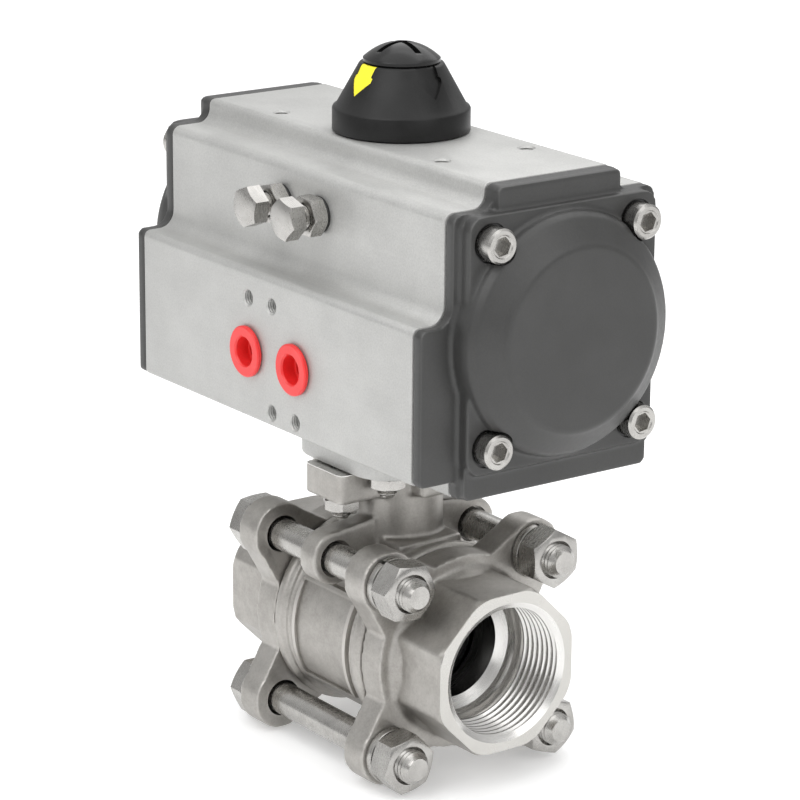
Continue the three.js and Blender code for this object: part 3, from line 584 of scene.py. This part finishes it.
def housingCorners(inset=0):
    look = housingLook
    low, high = nodeBox("actuator_housing")
    step, top = high.z - look["topStep"], high.z
    upperFront = low.y + look["wingReach"]
    wingTop, wingBottom = low.z + look["wingTop"], low.z + look["footHeight"]
    left, right = stemY - look["topHalf"], stemY + look["topHalf"]
    return [
        (stemY + look["footHalf"], low.z + inset, 1.4), (stemY + look["footHalf"], wingBottom + inset, 1),
        (high.y - inset, wingBottom + inset, 1.6), (high.y - inset, step - inset, 2.8),
        (right - inset, step - inset, 4), (right - inset, top - inset, 2),
        (left + inset, top - inset, 2), (left + inset, step - inset, 4),
        (upperFront + inset, step - inset, 2.8), (upperFront + inset, wingTop - inset, 5),
        (low.y + inset, wingTop - inset, 2.2), (low.y + inset, wingBottom + inset, 1.6),
        (stemY - look["footHalf"], wingBottom + inset, 1), (stemY - look["footHalf"], low.z + inset, 1.4),
    ]


def tappedHole(name, radius, axis, mouth, depth, at, pitch=0.8):  # a cutter with a chamfer and thread rings
    inward = math.copysign(1, depth)
    profile = [(0, mouth - inward), (radius + 0.5, mouth - inward), (radius + 0.5, mouth),
               (radius, mouth + inward * 0.5)]
    for turn in range(int((abs(depth) - 1) / pitch)):
        near = mouth + inward * (0.5 + turn * pitch)
        profile += [(radius + 0.25, near + inward * pitch / 2), (radius, near + inward * pitch)]
    profile += [(radius, mouth + depth), (0, mouth + depth)]
    return spun(name, profile, axis, at, 24)


def fourWays(a, b):
    return [(a, b), (-a, b), (-a, -b), (a, -b)]


def housingHoles():
    look = housingLook
    low, high = nodeBox("actuator_housing")
    portZ = middle("port_plug_left").z
    half, rise = look["portSpacing"] / 2, look["screwRise"]
    holes = []
    for x in (-half, half):
        holes.append(rod("port", look["portRadius"], "y", low.y - 1, low.y + look["portDepth"], (x, portZ)))
    for x, up in ((-half, rise), (0, rise), (0, -rise), (half, -rise)):
        holes.append(tappedHole("portScrew", look["smallHole"], "y", low.y, look["smallDepth"],
                                (x, portZ + up)))
    for x, y in fourWays(*look["accessory"]):
        holes.append(tappedHole(
            "accessory", look["smallHole"], "z", high.z, -look["smallDepth"], (x, stemY + y)))
    for side in ("left", "right"):
        stop = middle(f"stop_screw_{side}")
        end = nodeBox(f"stop_screw_{side}")[1].y + 2
        holes.append(rod("stop", look["stopHole"], "y", low.y - 1, end, (stop.x, stop.z), 32))
        for i in range(4):
            screwLow, screwHigh = nodeBox(f"cover_screw_{side}_{i + 1}")
            at = middle(f"cover_screw_{side}_{i + 1}")
            holes.append(rod("coverThread", 3.3, "x", screwLow.x - 2, screwHigh.x + 2, (at.y, at.z), 24))
    for i in range(4):
        at = middle(f"plate_stud_{i + 1}")
        holes.append(rod("baseHole", 3.3, "z", low.z - 1, low.z + 11, (at.x, at.y), 24))
    return gathered("smallHoles", holes)


def shaftPocket():  # the stepped space round the pinion shaft
    camHigh = nodeBox("stop_cam")[1].z + 1
    top, bottom = nodeBox("actuator_housing")[1].z, nodeBox("actuator_housing")[0].z
    return spun("shaftPocket", [
        (0, bottom - 1), (15.5, bottom - 1), (15.5, boreZ), (19, boreZ), (19, camHigh), (14, camHigh),
        (14, top - 1.6), (16.5, top - 1.6), (16.5, top + 1), (0, top + 1),
    ], "z", onStem, 64)


def makeHousing():
    low, high = nodeBox("actuator_housing")
    shell = prism("housingShell", housingCorners(), "x", low.x, high.x, 8)
    soften(shell, housingLook["endBreak"], lambda co: abs(abs(co.x / mm) - high.x) < 0.01, 2)
    bore = rod("pistonBore", housingLook["pistonBore"], "x", low.x - 1, high.x + 1, onBore, 96)
    cut(shell, bore, shaftPocket(), housingHoles())
    dressed(shell, "root", aluminium, ["actuator_housing"])


print("actuator housing")
makeHousing()


# End covers

coverLook = {
    "flange": 3.6, "topBlock": 5.6, "footBlock": 6.2, "rim": 7.9, "rimHalf": (32.8, 36.8), "rimCorner": 5,
    "domeRadius": 35.3, "discRadius": 26.6, "discLift": 0.7, "wall": 4, "spigot": 31.2, "counterbore": 5.7,
    "voxel": 0.62, "smoothing": 2,
}


def coverShapes():
    look = coverLook
    start = nodeBox("actuator_housing")[1].x + 0.3
    end = nodeBox("end_cover_right")[1].x
    top, bottom = nodeBox("actuator_housing")[1].z, nodeBox("actuator_housing")[0].z
    rimX = start + look["rim"]
    topHalf, footHalf = housingLook["topHalf"] - 0.4, housingLook["footHalf"] - 0.6
    topBlock = [(stemY + topHalf, boreZ, 0), (stemY + topHalf, top - 0.2, 2),
                (stemY - topHalf, top - 0.2, 2), (stemY - topHalf, boreZ, 0)]
    footBlock = [(stemY + footHalf, bottom + 0.2, 2), (stemY + footHalf, boreZ, 0),
                 (stemY - footHalf, boreZ, 0), (stemY - footHalf, bottom + 0.2, 2)]
    rim = roundedRectangle(onBore, *look["rimHalf"], look["rimCorner"])
    radius, disc = look["domeRadius"], look["discRadius"]
    dome = [(0, start), (radius, start), (radius, rimX)]
    fall = end - look["discLift"] - rimX
    dome += [(radius - 0.5, rimX + fall * 0.3), (radius - 1.7, rimX + fall * 0.52)]  # the flank leans in
    dome += [(disc + 1, end - look["discLift"] - 0.3), (disc, end - 0.15), (disc - 0.6, end), (0, end)]
    return [
        prism("flange", housingCorners(0.1), "x", start, start + look["flange"]),
        prism("topBlock", topBlock, "x", start + 0.3, start + look["topBlock"]),
        prism("footBlock", footBlock, "x", start + 0.3, start + look["footBlock"]),
        prism("rim", rim, "x", start + 0.3, rimX),
        spun("dome", dome, "x", onBore, 128),
    ]


def coverInside():
    look = coverLook
    start = nodeBox("actuator_housing")[1].x + 0.3
    end = nodeBox("end_cover_right")[1].x - look["wall"]
    inner = look["spigot"] - look["wall"]
    return spun("coverHollow", [(0, start - 1), (inner, start - 1), (inner, end - 4), (inner - 3, end),
                                (0, end)],
                "x", onBore, 96)


def screwSpaces():
    seat = nodeBox("cover_screw_right_1")[1].x - 6.3
    end = nodeBox("end_cover_right")[1].x
    spaces = []
    for i in range(4):
        at = middle(f"cover_screw_right_{i + 1}")
        spaces.append(spun("screwSpace", [
            (0, seat - 20), (3.3, seat - 20), (3.3, seat), (coverLook["counterbore"], seat),
            (coverLook["counterbore"], end + 2), (0, end + 2)], "x", (at.y, at.z), 48))
    return gathered("screwSpaces", spaces)


def makeCovers():
    start = nodeBox("actuator_housing")[1].x + 0.3
    cover = gathered("coverRight", coverShapes())
    asCasting(cover, coverLook["voxel"], coverLook["smoothing"])
    outside = block("beyondJoint", (start - 5, stemY - 60, boreZ - 60), (start, stemY + 60, boreZ + 60))
    cut(cover, outside, coverInside(), screwSpaces())
    ring = spun("spigot", [(27.2, start - 2.05), (31.2, start - 2.05), (31.2, start + 0.6),
                           (27.2, start + 0.6), (27.2, start - 2.05)], "x", onBore, 96)
    join(cover, ring)
    twin = copied(cover, "coverLeft", acrossStem())
    dressed(cover, "root", coating, ["end_cover_right"])
    dressed(twin, "root", coating, ["end_cover_left"])


print("end covers")
makeCovers()


# Screws, bolts and nuts

def hexPiece(name, acrossFlats, axis, start, end, at, chamfers=(True, True), turn=0):
    corner = acrossFlats / math.sqrt(3)
    face = acrossFlats / 2 * 0.96
    drop = (corner + 0.2 - face) * math.tan(tau / 12)
    low = drop if chamfers[0] else 0
    high = drop if chamfers[1] else 0
    outer = corner + 0.2
    profile = [(0, start), (face if low else outer, start), (outer, start + low),
               (outer, end - high), (face if high else outer, end), (0, end)]
    hexagon = rod(name, corner, axis, start, end, at, 6, turn)
    return common(hexagon, spun("turnedEnds", profile, axis, at, 72))


def threadProfile(radius, pitch, start, end):  # ridges along a shank between two places
    depth = pitch * 0.54
    count = max(1, int((end - start) / pitch))
    points = []
    for turn in range(count):
        place = start + (end - start) * turn / count
        step = (end - start) / count
        points += [(radius - depth, place), (radius, place + step * 0.42), (radius, place + step * 0.58)]
    return points + [(radius - depth, end)]


stopLook = {"acrossFlats": 10.8, "headHeight": 5, "radius": 3.35, "pitch": 1.2, "sealRadius": 5.4}


def stopParts(side):
    look = stopLook
    radius = look["radius"]
    screwLow, screwHigh = nodeBox(f"stop_screw_{side}")
    nutLow, nutHigh = nodeBox(f"stop_nut_{side}")
    at = (middle(f"stop_screw_{side}").x, middle(f"stop_screw_{side}").z)
    turn = {"left": 8, "right": -14}[side]
    headEnd = screwLow.y + look["headHeight"]
    head = hexPiece(f"stopScrew_{side}", look["acrossFlats"], "y", screwLow.y, headEnd, at, (True, False),
                    turn)
    shank = [(0, headEnd - 1), (radius - 0.7, headEnd - 1)]
    shank += threadProfile(radius, look["pitch"], headEnd, nutHigh.y + 8)
    shank += [(radius - 0.1, screwHigh.y - 1), (radius - 1, screwHigh.y), (0, screwHigh.y)]
    join(head, spun("stopShank", shank, "y", at, 40))
    dressed(head, f"{side}_stop", steelY, [f"stop_screw_{side}"])
    nut = hexPiece(f"stopNut_{side}", look["acrossFlats"], "y", nutLow.y, nutHigh.y, at, turn=turn * 2)
    hole = spun("nutHole", [(0, nutLow.y - 1), (radius + 1.2, nutLow.y - 1), (radius + 0.25, nutLow.y + 0.7),
                            (radius + 0.25, nutHigh.y + 1), (0, nutHigh.y + 1)], "y", at, 40)
    dressed(cut(nut, hole), "root", steelY, [f"stop_nut_{side}"])
    face = nutHigh.y + 0.05
    rim = look["sealRadius"]
    seal = spun(f"stopSeal_{side}", [(3.7, face), (rim - 0.2, face), (rim, face + 0.3),
                                     (rim - 0.1, face + 0.75), (3.7, face + 0.75), (3.7, face)], "y", at, 48)
    dressed(seal, "root", blackRubber)


def makeCoverScrews():
    low, high = nodeBox("cover_screw_right_1")
    at = middle("cover_screw_right_1")
    seat, end = high.x - 6, high.x
    profile = [(0, low.x), (2.8, low.x), (2.8, seat), (4.6, seat), (5, seat + 0.4), (5, end - 0.6), (4.4, end),
               (3.4, end), (3.1, end - 0.35), (0, end - 0.35)]
    screw = spun("coverScrew", profile, "x", (at.y, at.z), 72)
    cut(screw, rod("hexKeyHole", 2.9, "x", end - 3.2, end + 1, (at.y, at.z), 6, 10))
    for side in ("right", "left"):
        for i in range(4):
            node = f"cover_screw_{side}_{i + 1}"
            target = middle(node)
            move = shift(0, target.y - at.y, target.z - at.z)
            name = f"coverScrew_{side}_{i + 1}"
            twin = copied(screw, name, move if side == "right" else acrossStem() @ move)
            dressed(twin, "root", steelX, [node])
    bpy.data.objects.remove(screw)


boltLook = {
    "acrossFlats": 16, "headHeight": 6.4, "radius": 5, "pitch": 1.5, "nutHole": 5.05,
    "headTurns": (0, 3, -4, 11), "nutTurns": (0, 24, -17, 11),
}


def makeBodyBolts():
    look = boltLook
    low, high = nodeBox("body_bolt_1")
    nutLow, nutHigh = nodeBox("body_nut_1")
    plateEnd = nodeBox("end_cap_right")[0].x
    at = middle("body_bolt_1")
    line = (at.y, at.z)
    bolt = hexPiece("bodyBolt", look["acrossFlats"], "x", low.x, low.x + look["headHeight"], line,
                    (True, False))
    threadStart = nutLow.x - 1
    shank = [(0, low.x + 5), (look["radius"] - 0.1, low.x + 5), (look["radius"] - 0.1, threadStart)]
    shank += threadProfile(look["radius"] - 0.02, look["pitch"], threadStart, high.x - 1.2)
    shank += [(3.4, high.x), (0, high.x)]
    join(bolt, spun("shank", shank, "x", line, 48))
    nut = hexPiece("bodyNut", look["acrossFlats"], "x", nutLow.x, nutHigh.x, line, turn=30)
    bore = look["nutHole"]
    cut(nut, spun("nutHole", [(0, nutLow.x - 1), (bore, nutLow.x - 1), (bore, nutHigh.x - 0.8),
                              (bore + 1, nutHigh.x + 0.2), (0, nutHigh.x + 0.2)], "x", line, 48))
    ringStart, ringEnd = nutLow.x - 2.45, nutLow.x - 0.1
    washer = spun("springWasher", [(5.3, ringStart), (8.2, ringStart), (8.4, ringStart + 0.2),
                                   (8.4, ringEnd - 0.2),
                                   (8.2, ringEnd), (5.3, ringEnd), (5.3, ringStart)], "x", line, 64)
    cut(washer, block("split", (ringStart - 1, at.y - 0.6, at.z), (ringEnd + 1, at.y + 0.6, at.z + 12)))
    for i in range(4):
        target = middle(f"body_bolt_{i + 1}")
        pieces = (
            (bolt, f"bodyBolt_{i + 1}", [f"body_bolt_{i + 1}"], look["headTurns"][i]),
            (nut, f"bodyNut_{i + 1}", [f"body_nut_{i + 1}"], look["nutTurns"][i]),
            (washer, f"springWasher_{i + 1}", [], look["nutTurns"][i]),
        )
        for source, name, nodes, degrees in pieces:
            centre = Vector((0, at.y, at.z)) * mm
            spin = Matrix.Translation(centre) @ Matrix.Rotation(math.radians(degrees), 4, "X")
            move = shift(0, target.y - at.y, target.z - at.z) @ spin @ Matrix.Translation(-centre)
            dressed(copied(source, name, move), "root", steelX, nodes)
    for source in (bolt, nut, washer):
        bpy.data.objects.remove(source)


studCounts = {"ear": 2, "plate": 4}


def makeStuds(kind, threadRadius=2.9):
    node = f"{kind}_stud_1"
    low, high = nodeBox(node)
    at = middle(node)
    nutLow, nutHigh = low.z + 2.7, low.z + 6.5
    stud = hexPiece(f"{kind}Stud", 10, "z", nutLow, nutHigh, (at.x, at.y))
    shank = [(0, low.z), (2.2, low.z)] + threadProfile(threadRadius, 1, low.z + 0.5, nutLow + 1)
    shank += [(threadRadius - 0.2, nutHigh), (threadRadius - 0.2, high.z), (0, high.z)]
    join(stud, spun("studShank", shank, "z", (at.x, at.y), 32))
    washer = spun(f"{kind}Washer", [(3.2, nutHigh + 0.02), (5.6, nutHigh + 0.02), (5.7, nutHigh + 0.1),
                                    (5.6, nutHigh + 0.27), (3.2, nutHigh + 0.27), (3.2, nutHigh + 0.02)],
                  "z", (at.x, at.y), 48)
    for i in range(studCounts[kind]):
        target = middle(f"{kind}_stud_{i + 1}")
        move = shift(target.x - at.x, target.y - at.y, 0)
        twin = copied(stud, f"{kind}Stud_{i + 1}", move)
        dressed(twin, "root", steelZ, [f"{kind}_stud_{i + 1}"])
        dressed(copied(washer, f"{kind}Washer_{i + 1}", move), "root", steelZ)
    for source in (stud, washer):
        bpy.data.objects.remove(source)


print("screws, bolts and nuts")
for stopSide in ("left", "right"):
    stopParts(stopSide)
makeCoverScrews()
makeBodyBolts()
makeStuds("ear")
makeStuds("plate")


# Port plugs

def makePlugs():
    low, high = nodeBox("port_plug_left")
    at = middle("port_plug_left")
    face, flange, end = low.y, low.y + 1.4, high.y
    profile = [
        (0, end - 2), (3.2, end - 2), (3.4, face + 4.6), (4.1, face + 4.4), (4.3, face + 0.5), (4.7, face),
        (7.2, face), (7.6, face + 0.35), (7.6, flange - 0.2), (7.4, flange), (5.5, flange), (5.1, end - 0.5),
        (4.6, end), (0, end),
    ]
    plug = spun("plug", profile, "y", (at.x, at.z), 72)
    for side in ("left", "right"):
        move = shift(middle(f"port_plug_{side}").x - at.x, 0, 0)
        twin = copied(plug, f"portPlug_{side}", move)
        dressed(twin, f"{side}_plug", redPlastic, [f"port_plug_{side}"])
    bpy.data.objects.remove(plug)


print("port plugs")
makePlugs()


# Position indicator

indicatorLook = {
    "baseRadius": 20.2, "baseHeight": 7, "coneTop": 12.2,
    # half-width and height over the housing, from the top down to the tip
    "arrow": [(3.5, 20.2), (3.4, 17.4), (4.1, 17.1), (4.1, 15.9), (0, 11.6)],
    "arrowMiddle": 15.5, "arrowDepth": 0.9, "knobRadius": 11.3, "knobLip": 1.3, "slot": (9.5, 1, 2.4),
}


def coneProfile(inset):
    look = indicatorLook
    bottom = nodeBox("indicator_cap")[0].z
    baseTop = bottom + look["baseHeight"]
    top = nodeBox("indicator_cap")[1].z
    return [(look["baseRadius"] - inset, baseTop - 0.6), (look["baseRadius"] - 0.25 - inset, baseTop - 0.1),
            (look["baseRadius"] - 1 - inset, baseTop + 0.25), (look["coneTop"] + 0.4 - inset, top - 0.7),
            (look["coneTop"] - inset, top - 0.2), (look["coneTop"] - 0.5 - inset, top)]


def arrowCorners(centreU, scale):
    look = indicatorLook
    middleZ = nodeBox("actuator_housing")[1].z + look["arrowMiddle"]
    side = [(half * scale, middleZ + (height - look["arrowMiddle"]) * scale)
            for half, height in look["arrow"]]
    return [(centreU + u, v, 0) for u, v in side] + [(centreU - u, v, 0) for u, v in reversed(side) if u]


def arrowLayer(name, outerInset, innerInset, axis, scale):
    top = nodeBox("indicator_cap")[1].z + 2
    bottom = nodeBox("indicator_cap")[0].z
    outside = [(0, bottom), (20.2 - outerInset, bottom)] + coneProfile(outerInset) + [(0, top - 2)]
    outer = spun("outerCone", outside, "z", onStem, 96)
    inner = spun("innerCone", [(0, bottom - 1), (20.2 - innerInset, bottom - 1)] + coneProfile(innerInset)
                 + [(10.5, top), (0, top)], "z", onStem, 96)
    shell = cut(outer, inner)
    centre, along = (stemY, 0) if axis == "x" else (0, stemY)
    return common(prism(name, arrowCorners(centre, scale), axis, along - 24, along + 24), shell)


def makeIndicator():
    look = indicatorLook
    low, high = nodeBox("indicator_cap")
    radius = look["baseRadius"]
    outside = [(0, low.z), (radius - 0.3, low.z), (radius, low.z + 0.3)] + coneProfile(0)
    outside += [(9.5, high.z), (9.5, high.z - 1), (0, high.z - 1)]
    cap = spun("indicatorCap", outside, "z", onStem, 128)
    inside = spun("capHollow", [(0, low.z - 1), (17.6, low.z - 1), (17.6, low.z + 4.4), (15, low.z + 7.2),
                                (9.6, high.z - 3), (0, high.z - 3)], "z", onStem, 64)
    hole = rod("capHole", 3.2, "z", high.z - 5, high.z + 1, onStem)
    for axis in ("x", "y"):
        cut(cap, arrowLayer("arrowRecess", -1, look["arrowDepth"], axis, 1))
    cut(cap, inside, hole)
    dressed(cap, "drive_train", blackPlastic, ["indicator_cap"], 40)
    arrows = arrowLayer("arrowInlays", 0.1, look["arrowDepth"] - 0.05, "y", 0.97)
    dressed(arrows, "drive_train", yellowPlastic, ["indicator_insert"], 40)


def makeKnob():
    low, high = nodeBox("indicator_screw")
    seat = nodeBox("indicator_cap")[1].z + 0.15
    look = indicatorLook
    radius, lip = look["knobRadius"], seat + look["knobLip"]
    profile = [(0, low.z), (2.6, low.z), (2.6, seat), (radius - 0.3, seat), (radius, seat + 0.3),
               (radius, lip - 0.2)]
    for i in range(12, -1, -1):  # the domed head
        profile.append((radius * i / 12 * 0.985, lip + (high.z - lip) * (1 - (i / 12) ** 2.2)))
    knob = spun("indicatorKnob", profile, "z", onStem, 96)
    length, half, depth = look["slot"]
    for u, v in ((length, half), (half, length)):
        cut(knob, block("slot", (-u, stemY - v, high.z - depth), (u, stemY + v, high.z + 1)))
    dressed(knob, "drive_train", knobPlastic, ["indicator_screw"], 40)


print("position indicator")
makeIndicator()
makeKnob()


# Valve body

bodyLook = {
    "barrel": 27.8, "neck": 13.4, "saddle": (16.8, 11.5),
    "earsX": (18.9, 5, 8.6, 1), "earsY": (9.4, 27.9, 9.2, 2),  # half sizes along X and Y, height, corner
    "boltHalf": 26.5, "lugRange": (-2.2, 5.5), "lugRadius": 8.2, "voxel": 0.62, "smoothing": 6,
    "panel": (13.9, 16.2), "panelBorder": 1.5,
}


def valveBarrel():
    half = [(27.8, 14.5), (28.2, 14.9), (29.1, 15.4), (29.4, 16.1), (29.1, 16.9), (28.8, 17.4), (29.3, 17.9),
            (30.4, 18.4), (30.6, 19.2), (30.6, 21), (29.8, 22.3)]
    outside = [(r, x) for r, x in reversed(half)]
    mirrored = [(r, -x) for r, x in half]
    return spun("barrel", [(0, 22.3)] + outside + mirrored + [(0, -22.3)], "x", onPipe, 128)


def lugWeb(side):
    look = bodyLook
    boltZ = pipeZ + look["boltHalf"]
    at = stemY + side * look["boltHalf"]
    radius = look["lugRadius"]
    start, end = sorted(-side * x for x in look["lugRange"])
    eye = rod("lugEye", radius, "x", start, end, (at, boltZ), 48)
    inner, outer = stemY + side * 8, at
    low, high = boltZ - 7, boltZ + radius
    web = prism("lugWeb", [(inner, low - 8, 0), (outer, low + 1, 0), (outer, high, 0), (inner, high + 2.5, 0)],
                "x", start, end)
    return [eye, web]


def bodyCrossing(top):
    ears = []
    for name in ("earsX", "earsY"):
        halfX, halfY, height, corner = bodyLook[name]
        outline = roundedRectangle(onStem, halfX, halfY, corner)
        ears.append(prism(name, outline, "z", top - height, top + 0.6))
    return ears


def panelLayer(inset, lift, depth=4):
    u, v = bodyLook["panel"]
    skin = rod("panelSkin", bodyLook["barrel"] + lift, "x", -15, 15, onPipe, 128)
    front = prism("panel", roundedRectangle((0, pipeZ), u - inset, v - inset, max(0.6, 2 - inset)),
                  "y", stemY - 32, stemY - 32 + depth + 8)
    return common(front, skin)


def bodyHoles():
    look = bodyLook
    top = nodeBox("valve_body")[1].z
    holes = []
    for side in (-1, 1):
        at = (stemY + side * look["boltHalf"], pipeZ + look["boltHalf"])
        holes.append(rod("boltHole", 5.7, "x", -10, 10, at, 48))
    for i in range(studCounts["ear"]):
        at = middle(f"ear_stud_{i + 1}")
        holes.append(rod("earHole", 3.3, "z", top - 11, top + 1, (at.x, at.y), 32))
    return gathered("bodyHoles", holes)


def bodyHollow():
    top = nodeBox("valve_body")[1].z
    along = spun("cavity", [(0, -23), (27.1, -23), (27.1, -20.5), (24, -20.5), (24, 20.5), (27.1, 20.5),
                            (27.1, 23), (0, 23)], "x", onPipe, 96)
    upward = spun("stemWay", [(0, pipeZ + 1), (9.7, pipeZ + 1), (9.7, pipeZ + 28.2), (7.3, pipeZ + 28.2),
                              (7.3, 74), (10.5, 74), (10.5, top + 1), (0, top + 1)], "z", onStem, 64)
    return join(along, upward)


def makeValveBody():
    look = bodyLook
    top = nodeBox("valve_body")[1].z
    neck = [(0, pipeZ + 20), (look["neck"], pipeZ + 20), (look["neck"], top), (0, top)]
    saddle = prism("saddle", roundedRectangle(onStem, *look["saddle"], 0.8), "z", pipeZ + 20, pipeZ + 30.6)
    shapes = [valveBarrel(), spun("neck", neck, "z", onStem, 96), saddle]
    shapes += lugWeb(1) + lugWeb(-1) + bodyCrossing(top)
    body = asCasting(gathered("valveBody", shapes), look["voxel"], look["smoothing"])
    cut(body, block("topCut", (-40, stemY - 40, top), (40, stemY + 40, top + 5)))
    join(body, panelLayer(0, 1.6))
    floor = rod("panelFloor", look["barrel"] + 0.7, "x", -20, 20, onPipe, 128)
    cut(body, cut(panelLayer(look["panelBorder"], 3, 6), floor))
    cut(body, bodyHollow(), bodyHoles())
    dressed(body, "root", castBody, ["valve_body"])


print("valve body")
makeValveBody()


# Pipe ends

endLook = {
    "octagon": 24.1, "plateStart": 22.8, "plateEnd": 32.4, "waist": 29.8, "earRadius": 9.7, "boltHalf": 26.5,
    "flow": 15.5, "step": 19, "relief": 21.2, "threadMajor": 20.95, "threadMinor": 19.55, "pitch": 2.309,
    "voxel": 0.6, "smoothing": 6, "webHalf": 20,
}


def endShapes():
    look = endLook
    start, end = look["plateStart"], look["plateEnd"]
    face = nodeBox("end_cap_right")[1].x
    half, radius = look["boltHalf"], look["earRadius"]
    shapes = [rod("waist", look["waist"], "x", start, end, onPipe, 96)]
    diagonal = math.hypot(half, half)
    arm = [(stemY + u, pipeZ + v, 0) for u, v in (
        (0, -look["webHalf"]), (diagonal, -radius), (diagonal, radius), (0, look["webHalf"]),
        (-diagonal, radius), (-diagonal, -radius))]
    for turn in (45, -45):
        web = prism("web", arm, "x", start, end)
        centre = spot("x", *onPipe, 0)
        spin = Matrix.Rotation(math.radians(turn), 4, "X")
        web.data.transform(Matrix.Translation(centre) @ spin @ Matrix.Translation(-centre))
        shapes.append(web)
    for y, z in fourWays(half, half):
        shapes.append(rod("ear", radius, "x", start, end, (stemY + y, pipeZ + z), 64))
    corner = look["octagon"] / math.cos(tau / 16)
    octagon = rod("octagon", corner, "x", end - 3, face + 0.8, onPipe, 8, 22.5)
    turned = spun("turnedCorners", [(0, end - 4), (31, end - 4), (31, face - 5), (24.9, face - 0.2),
                                    (24.9, face + 2), (0, face + 2)], "x", onPipe, 96)
    shapes.append(common(octagon, turned))
    shapes.append(spun("rootFillet", [(0, end - 1), (26.8, end - 1), (25.6, end + 0.8), (24.9, end + 2.2),
                                      (0, end + 2.2)], "x", onPipe, 96))
    return shapes


def socketSpace():
    look = endLook
    face = nodeBox("end_cap_right")[1].x
    threadStart = 37
    profile = [(0, 18), (look["flow"], 18), (look["flow"], 28.6), (look["step"], 30.2), (look["step"], 33.6),
               (look["relief"], 34), (look["relief"], 36.8)]
    turns = int((face - 1.2 - threadStart) / look["pitch"])
    for turn in range(turns):
        place = threadStart + turn * look["pitch"]
        profile += [(look["threadMinor"], place), (look["threadMinor"] + 0.1, place + 0.35),
                    (look["threadMajor"], place + look["pitch"] * 0.5),
                    (look["threadMajor"], place + look["pitch"] * 0.62)]
    profile += [(look["threadMinor"], threadStart + turns * look["pitch"]), (look["threadMajor"] + 0.45, face),
                (look["threadMajor"] + 0.45, face + 2), (0, face + 2)]
    return spun("socketSpace", profile, "x", onPipe, 128)


def endBoltHoles():
    look = endLook
    holes = []
    for y, z in fourWays(look["boltHalf"], look["boltHalf"]):
        at = (stemY + y, pipeZ + z)
        holes.append(rod("boltHole", 5.7, "x", look["plateStart"] - 2, look["plateEnd"] + 2, at, 48))
        holes.append(rod("spotFace", 9, "x", look["plateEnd"] - 0.05, look["plateEnd"] + 1.5, at, 64))
    return holes


def makePipeEnds():
    look = endLook
    face = nodeBox("end_cap_right")[1].x
    cap = asCasting(gathered("pipeEndRight", endShapes()), look["voxel"], look["smoothing"])
    cut(cap, block("faceCut", (face, stemY - 40, pipeZ - 40), (face + 6, stemY + 40, pipeZ + 40)))
    cut(cap, block("backCut", (10, stemY - 50, pipeZ - 50), (look["plateStart"], stemY + 50, pipeZ + 50)))
    spigot = rod("spigot", 23.7, "x", 20, look["plateStart"] + 2, onPipe, 96)
    join(cap, spigot)
    cut(cap, socketSpace(), *endBoltHoles())
    twin = copied(cap, "pipeEndLeft", halfTurn())
    dressed(cap, "root", castEnd, ["end_cap_right"])
    dressed(twin, "root", castEnd, ["end_cap_left"])


print("pipe ends")
makePipeEnds()


# Ball, seats and adapter plate

def makeBall():
    bpy.ops.object.select_all(action="DESELECT")
    bpy.ops.mesh.primitive_uv_sphere_add(
        segments=96, ring_count=48, radius=23 * mm, location=spot("x", *onPipe, 0))
    sphere = settled("flowBall")
    cut(sphere, rod("flowWay", 15.5, "y", stemY - 30, stemY + 30, (0, pipeZ), 96))
    cut(sphere, block("stemSlot", (-16, stemY - 3.3, pipeZ + 19), (16, stemY + 3.3, pipeZ + 26)))
    dressed(sphere, "drive_train", ballSteel, ["ball"])


def makeSeats():
    low, high = nodeBox("seat_ring_right")
    profile = [(16.2, high.x), (23.4, high.x), (23.6, high.x - 0.3), (23.6, low.x + 0.3), (23.3, low.x),
               (18.6, low.x), (17.5, 15.9), (16.2, 17.3), (16.2, high.x)]
    seat = spun("seatRing", profile, "x", onPipe, 96)
    twin = copied(seat, "seatRingLeft", halfTurn())
    seat.name = seat.data.name = "seatRingRight"
    dressed(seat, "root", blackRubber, ["seat_ring_right"])
    dressed(twin, "root", blackRubber, ["seat_ring_left"])


def makeAdapter():
    low, high = nodeBox("adapter_plate")
    plate = prism("adapterPlate", roundedRectangle((0, stemY), 24.5, 24.5, 13), "z", low.z, high.z, 12)
    soften(plate, 0.5, lambda co: min(abs(co.z / mm - low.z), abs(co.z / mm - high.z)) < 0.01, 2)
    holes = []
    for kind, count in studCounts.items():
        for i in range(count):
            at = middle(f"{kind}_stud_{i + 1}")
            holes.append(rod("studHole", 3.3, "z", low.z - 1, high.z + 1, (at.x, at.y), 32))
    holes.append(rod("stemHole", 14.2, "z", low.z - 1, high.z + 1, onStem, 64))
    cut(plate, gathered("adapterHoles", holes))
    dressed(plate, "root", aluminium, ["adapter_plate"])


print("ball, seats and adapter plate")
makeBall()
makeSeats()
makeAdapter()


# The pieces inside keep their CAD shape

innerFinishes = {
    "pinion": gearSteel, "stop_cam": gearSteel, "retaining_ring": steelZ, "valve_stem": steelZ,
    "stem_nut": steelZ,
    "disc_spring": steelZ, "gland_ring": steelZ, "piston_right": aluminium, "piston_left": aluminium,
    "piston_seal_right": blackRubber, "piston_seal_left": blackRubber, "upper_bearing": sealPolymer,
    "lower_bearing": sealPolymer, "body_gasket_right": sealPolymer, "body_gasket_left": sealPolymer,
    "thrust_washer": sealPolymer, "stem_packing": sealPolymer,
}


def dressInnerNodes():
    for node, finish in innerFinishes.items():
        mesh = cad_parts[node].data
        mesh.materials.clear()
        mesh.materials.append(finish)


print("inner nodes")
dressInnerNodes()
